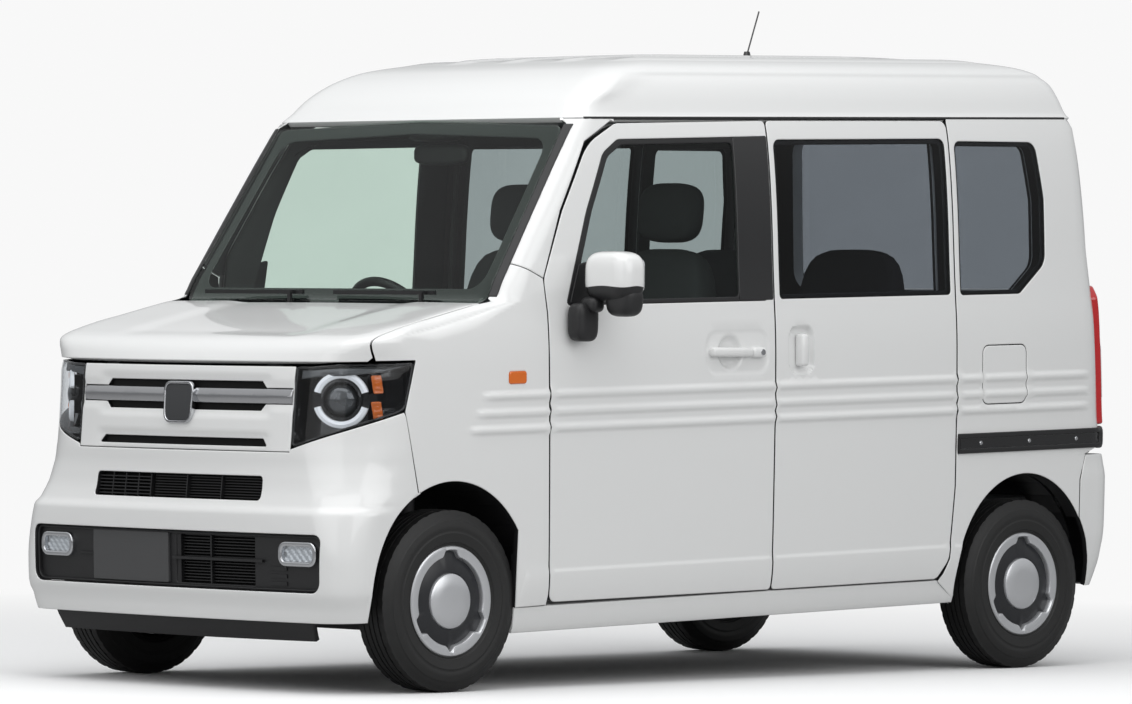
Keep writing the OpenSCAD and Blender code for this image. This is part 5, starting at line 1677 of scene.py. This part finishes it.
def build_wheel(name, body, centre, out):
    """Wheel with its lobed cover; out is 1 on the left and -1 on the right."""
    silver = finish("wheel_silver", (0.66, 0.67, 0.69), 0.3, metal=0.75, grain=0.05, scale=900)
    night = finish("cover_dark", (0.014, 0.015, 0.018), 0.3)
    around = 144
    theta = np.linspace(0, 2 * math.pi, around, endpoint=False)
    lobe = np.maximum(0, np.cos(3 * (theta - math.pi / 2)))
    reach = 130 + 17 * smooth(0.72, 0.93, lobe)
    notch = np.exp(-((np.degrees(theta) - 270) / 4.5)**2)
    reach = reach + 18 * notch
    # Radius, offset and material of each ring, from the middle of the cover to the rim's back
    rows = [(0, 69.5, 0), (40, 69, 0), (74, 66.5, 0), (80, 63, 0), (82, 57, 1), (86, 59, 1),
            (96, 58, 1), (reach - 6, 52, 1), (reach, 50, 0), (reach + 1.5, 62, 0),
            (reach + 3.5, 65, 0), (152, 68, 0), (160, 66.5, 0), (163, 63, 0), (163, 58, 0),
            (146, 40, 0), (146, -60, 0), (140, -60, 0), (138, 30, 0), (36, 20, 0), (17, 20, 0)]
    pts, fcs, mats = [], [], []
    for r, x, _ in rows:
        r = np.broadcast_to(r, around)
        for k in range(around):
            pts.append((centre[0] + out * x, centre[1] + r[k] * math.cos(theta[k]),
                        centre[2] + r[k] * math.sin(theta[k])))
    for i in range(len(rows) - 1):
        for k in range(around):
            j = (k + 1) % around
            q = (i * around + k, i * around + j, (i + 1) * around + j, (i + 1) * around + k)
            fcs.append(q if out > 0 else q[::-1])
            mats.append(rows[i][2])
    wheel = make_mesh("wheel_cover_" + name, pts, fcs, [silver, night], mats, angle=32)
    place(wheel, body, "wheel_silver", "wheel_" + name)


class KEIVAN_OT_wheels(bpy.types.Operator):
    """Builds the tyres with their tread and the wheels with their covers."""
    bl_idname = "keivan.wheels"
    bl_label = "Wheels and tyres"

    def execute(self, context):
        s = context.scene.kei_van
        for name, out in (("front_left", 1), ("front_right", -1), ("rear_left", 1), ("rear_right", -1)):
            body = body_of(frame["nodes"]["tyre_" + name])[0]
            y = AXLE_F if "front" in name else AXLE_R
            centre = (out * WHEEL_X, y, WHEEL_Z)
            build_tyre(name, body, centre, out, s.tread_depth / MM)
            build_wheel(name, body, centre, out)
        return {"FINISHED"}


class KEIVAN_OT_mirrors(bpy.types.Operator):
    """Builds the door mirrors and the mirror behind the windscreen with its housing."""
    bl_idname = "keivan.mirrors"
    bl_label = "Mirrors and wipers"

    def execute(self, context):
        s = context.scene.kei_van
        for side, flip in SIDES:
            at = np.array([HALF_W + 112.5, HINGE + 164.5, 1227])
            head = pillow("mirror_head_" + side, at, np.array([94, 55, 75]),
                          3.6, [white(s), black()], split=1196)
            bulge = pillow("mirror_bulge_" + side, at + [35, 7, -75], np.array([48, 44, 45]),
                           3.2, [black()], taper=-0.2)
            foot = pillow("mirror_foot_" + side, at + [-82, -49, -137], np.array([30, 44, 58]),
                          4.0, [black()], taper=-0.12)
            neck = pillow("mirror_neck_" + side, at + [-60, -33, -85], np.array([34, 28, 24]),
                          3.0, [black()])
            glass = pillow("mirror_glass_" + side, at + [0, 50, 3], np.array([74, 6, 52]), 6,
                           [finish("mirror_glass", (0.8, 0.81, 0.82), 0.02, metal=1.0)])
            whole = join("door_mirror_" + side, [head, bulge, foot, neck, glass])
            if flip:
                to_right(whole)
            place(whole, side + "_door", "body_paint", "mirror_" + side)
        y = HINGE + 261.5
        box = block("sensor_housing", (-80, y - 72, 1640), (80, y + 10, 1688), black(), 14, 3)
        glass = pillow("room_mirror", np.array([0, y, 1600]), np.array([118, 16, 32]), 4, [black()])
        place(join("screen_housing", [box, glass]), "body", "black_plastic")
        return {"FINISHED"}


class KEIVAN_OT_cabin(bpy.types.Operator):
    """Builds the padded seats."""
    bl_idname = "keivan.cabin"
    bl_label = "Seats"

    def execute(self, context):
        cloth = finish("seat_cloth", (0.045, 0.045, 0.05), 0.9, bump=0.5, bump_scale=1200)
        seam = ((0, -0.55, 0.03), (0, 0.55, 0.03))
        x = node_box("front_seats")[1].x - 230
        for side, sign in (("left", 1), ("right", -1)):
            y = DOOR_GAP
            cushion = pillow("seat_cushion_" + side, np.array([sign * x, y - 385, 655]),
                             np.array([226, 225, 72]), 4.0, [cloth], turn=3, seams=seam)
            back = pillow("seat_back_" + side, np.array([sign * x, y - 108, 985]),
                          np.array([222, 62, 335]), 4.0, [cloth], turn=-9, seams=seam, taper=0.12)
            rest = pillow("head_rest_" + side, np.array([sign * x, y - 52, 1430]),
                          np.array([122, 46, 92]), 3.4, [cloth], turn=-6)
            for o, fill in ((cushion, 0.7), (back, 0.7), (rest, 0.8)):
                place(o, "body", "seat_cloth")
            x2 = 280
            low = pillow("bench_cushion_" + side, np.array([sign * x2, y + 555, 700]),
                         np.array([215, 190, 62]), 4.0, [cloth], seams=seam)
            high = pillow("bench_back_" + side, np.array([sign * x2, y + 815, 1040]),
                          np.array([215, 46, 288]), 4.0, [cloth], turn=-5, seams=seam)
            for o in (low, high):
                place(o, "body", "seat_cloth")
            if sign > 0:
                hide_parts("front_seats")
                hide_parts("rear_seats")
        return {"FINISHED"}


class KEIVAN_OT_underside(bpy.types.Operator):
    """Gives the cabin's and the running gear's CAD pieces their materials."""
    bl_idname = "keivan.underside"
    bl_label = "Running gear and cabin materials"

    def execute(self, context):
        cast = finish("cast_metal", (0.22, 0.22, 0.23), 0.55, metal=0.8, bump=0.4)
        looks = {"floor_pan": lining(), "front_frame": steel(), "engine": steel(),
                 "fuel_tank": black(),
                 "exhaust": finish("exhaust_steel", (0.35, 0.34, 0.33), 0.4, metal=0.9),
                 "wheel_liners": black(), "front_suspension": steel(), "rear_axle": steel(),
                 "knuckle_left": cast, "knuckle_right": cast,
                 "dashboard": black(), "steering_wheel": black(), "windscreen_wipers": black(),
                 "antenna": gloss_black()}
        for name, node in frame["nodes"].items():
            if node.hide_render:
                continue
            node.data.materials.clear()
            node.data.materials.append(looks[name])
        return {"FINISHED"}


BUILDERS = (KEIVAN_OT_sides, KEIVAN_OT_nose, KEIVAN_OT_face, KEIVAN_OT_glass, KEIVAN_OT_roof,
            KEIVAN_OT_front_doors, KEIVAN_OT_sliding_doors, KEIVAN_OT_tail, KEIVAN_OT_wheels,
            KEIVAN_OT_mirrors, KEIVAN_OT_cabin, KEIVAN_OT_underside)


class KEIVAN_OT_stage(bpy.types.Operator):
    """Builds the floor, the lights and the camera."""
    bl_idname = "keivan.stage"
    bl_label = "Stage"

    def execute(self, context):
        s = context.scene.kei_van
        mesh = bpy.data.meshes.new("floor")
        r = 60.0
        mesh.from_pydata([(-r, -r, 0), (r, -r, 0), (r, r, 0), (-r, r, 0)], [], [(0, 1, 2, 3)])
        floor = bpy.data.objects.new("floor", mesh)
        context.scene.collection.objects.link(floor)
        m = bpy.data.materials.new("studio_floor")
        m.use_nodes = True
        tree = m.node_tree
        shader = tree.nodes["Principled BSDF"]
        shader.inputs["Roughness"].default_value = 0.9
        shader.inputs["Specular IOR Level"].default_value = 0.1
        ray = tree.nodes.new("ShaderNodeLightPath")
        mix = tree.nodes.new("ShaderNodeMix")
        mix.data_type = "RGBA"
        mix.inputs["A"].default_value = (0.42, 0.42, 0.42, 1)
        mix.inputs["B"].default_value = (0.93, 0.93, 0.93, 1)
        tree.links.new(ray.outputs["Is Camera Ray"], mix.inputs["Factor"])
        tree.links.new(mix.outputs["Result"], shader.inputs["Base Color"])
        # The floor's own light fades in away from the car, so that it meets the backdrop
        where = tree.nodes.new("ShaderNodeTexCoord")
        length = tree.nodes.new("ShaderNodeVectorMath")
        length.operation = "LENGTH"
        fade = tree.nodes.new("ShaderNodeMapRange")
        fade.inputs["From Min"].default_value = 2.2
        fade.inputs["From Max"].default_value = 6.0
        glow = tree.nodes.new("ShaderNodeEmission")
        glow.inputs["Color"].default_value = (0.94, 0.94, 0.94, 1)
        seen = tree.nodes.new("ShaderNodeMath")
        seen.operation = "MULTIPLY"
        blend = tree.nodes.new("ShaderNodeMixShader")
        tree.links.new(where.outputs["Object"], length.inputs[0])
        tree.links.new(length.outputs["Value"], fade.inputs["Value"])
        tree.links.new(fade.outputs["Result"], seen.inputs[0])
        tree.links.new(ray.outputs["Is Camera Ray"], seen.inputs[1])
        tree.links.new(seen.outputs["Value"], blend.inputs["Fac"])
        tree.links.new(shader.outputs["BSDF"], blend.inputs[1])
        tree.links.new(glow.outputs["Emission"], blend.inputs[2])
        tree.links.new(blend.outputs["Shader"], tree.nodes["Material Output"].inputs["Surface"])
        mesh.materials.append(m)

        world = bpy.data.worlds.new("studio")
        context.scene.world = world
        world.use_nodes = True
        tree = world.node_tree
        back = tree.nodes["Background"]
        ray = tree.nodes.new("ShaderNodeLightPath")
        where = tree.nodes.new("ShaderNodeTexCoord")
        split = tree.nodes.new("ShaderNodeSeparateXYZ")
        ramp = tree.nodes.new("ShaderNodeValToRGB")
        ramp.color_ramp.elements[0].position = 0.0
        ramp.color_ramp.elements[0].color = (0.24, 0.245, 0.25, 1)
        ramp.color_ramp.elements[1].position = 0.9
        ramp.color_ramp.elements[1].color = (0.70, 0.71, 0.72, 1)
        middle = ramp.color_ramp.elements.new(0.22)
        middle.color = (0.52, 0.525, 0.53, 1)
        tree.links.new(where.outputs["Generated"], split.inputs["Vector"])
        tree.links.new(split.outputs["Z"], ramp.inputs["Fac"])
        mix = tree.nodes.new("ShaderNodeMix")
        mix.data_type = "RGBA"
        mix.inputs["B"].default_value = (0.94, 0.94, 0.94, 1)
        tree.links.new(ramp.outputs["Color"], mix.inputs["A"])
        tree.links.new(ray.outputs["Is Camera Ray"], mix.inputs["Factor"])
        tree.links.new(mix.outputs["Result"], back.inputs["Color"])

        def light(name, at, to, size, power):
            data = bpy.data.lights.new(name, "AREA")
            data.shape = "RECTANGLE"
            data.size, data.size_y = size
            data.energy = power
            o = bpy.data.objects.new(name, data)
            context.scene.collection.objects.link(o)
            o.location = at
            o.rotation_euler = (Vector(to) - Vector(at)).to_track_quat("-Z", "Y").to_euler()

        light("overhead", (0.8, -2.0, 5.2), (0, -0.4, 0.8), (6.0, 6.0), s.light_power)
        light("side", (6.5, -0.5, 3.2), (0, 0, 0.9), (7.0, 3.6), s.light_power * 0.75)
        light("front", (0.5, -7.5, 3.0), (0, 0, 0.9), (7.0, 4.0), s.light_power * 0.5)

        data = bpy.data.cameras.new("camera")
        camera = bpy.data.objects.new("camera", data)
        context.scene.collection.objects.link(camera)
        turn, pitch, roll = math.radians(45.406), math.radians(0.339), math.radians(0.531)
        ahead = Vector((-math.sin(turn) * math.cos(pitch), math.cos(turn) * math.cos(pitch),
                        -math.sin(pitch)))
        right = Vector((math.cos(turn), math.sin(turn), 0))
        up = right.cross(ahead)
        across = right * math.cos(roll) + up * math.sin(roll)
        upward = up * math.cos(roll) - right * math.sin(roll)
        basis = Matrix((across, upward, -ahead)).transposed().to_4x4()
        camera.matrix_world = Matrix.Translation((15.6219, -15.5105, 1.1186)) @ basis
        data.sensor_width = 36
        data.lens = 223.8
        data.shift_x = 0.0104
        data.shift_y = 0.0017
        data.clip_end = 200
        context.scene.camera = camera
        context.scene.view_settings.view_transform = "Standard"
        return {"FINISHED"}


BUILDERS += (KEIVAN_OT_stage,)


class KEIVAN_PT_panel(bpy.types.Panel):
    """Lists the builders in the 3D view's sidebar."""
    bl_idname = "KEIVAN_PT_panel"
    bl_label = "Kei Van"
    bl_space_type = "VIEW_3D"
    bl_region_type = "UI"
    bl_category = "Kei Van"

    def draw(self, context):
        settings = context.scene.kei_van
        for name in settings.__annotations__:
            self.layout.prop(settings, name)
        for builder in BUILDERS:
            self.layout.operator(builder.bl_idname)


def register():
    for cls in (KeiVanSettings, *BUILDERS, KEIVAN_PT_panel):
        bpy.utils.register_class(cls)
    bpy.types.Scene.kei_van = PointerProperty(type=KeiVanSettings)


def unregister():
    del bpy.types.Scene.kei_van
    for cls in (KEIVAN_PT_panel, *reversed(BUILDERS), KeiVanSettings):
        bpy.utils.unregister_class(cls)


def main():
    register()
    for builder in BUILDERS:
        group, name = builder.bl_idname.split(".")
        getattr(getattr(bpy.ops, group), name)()


if __name__ == "__main__":
    main()
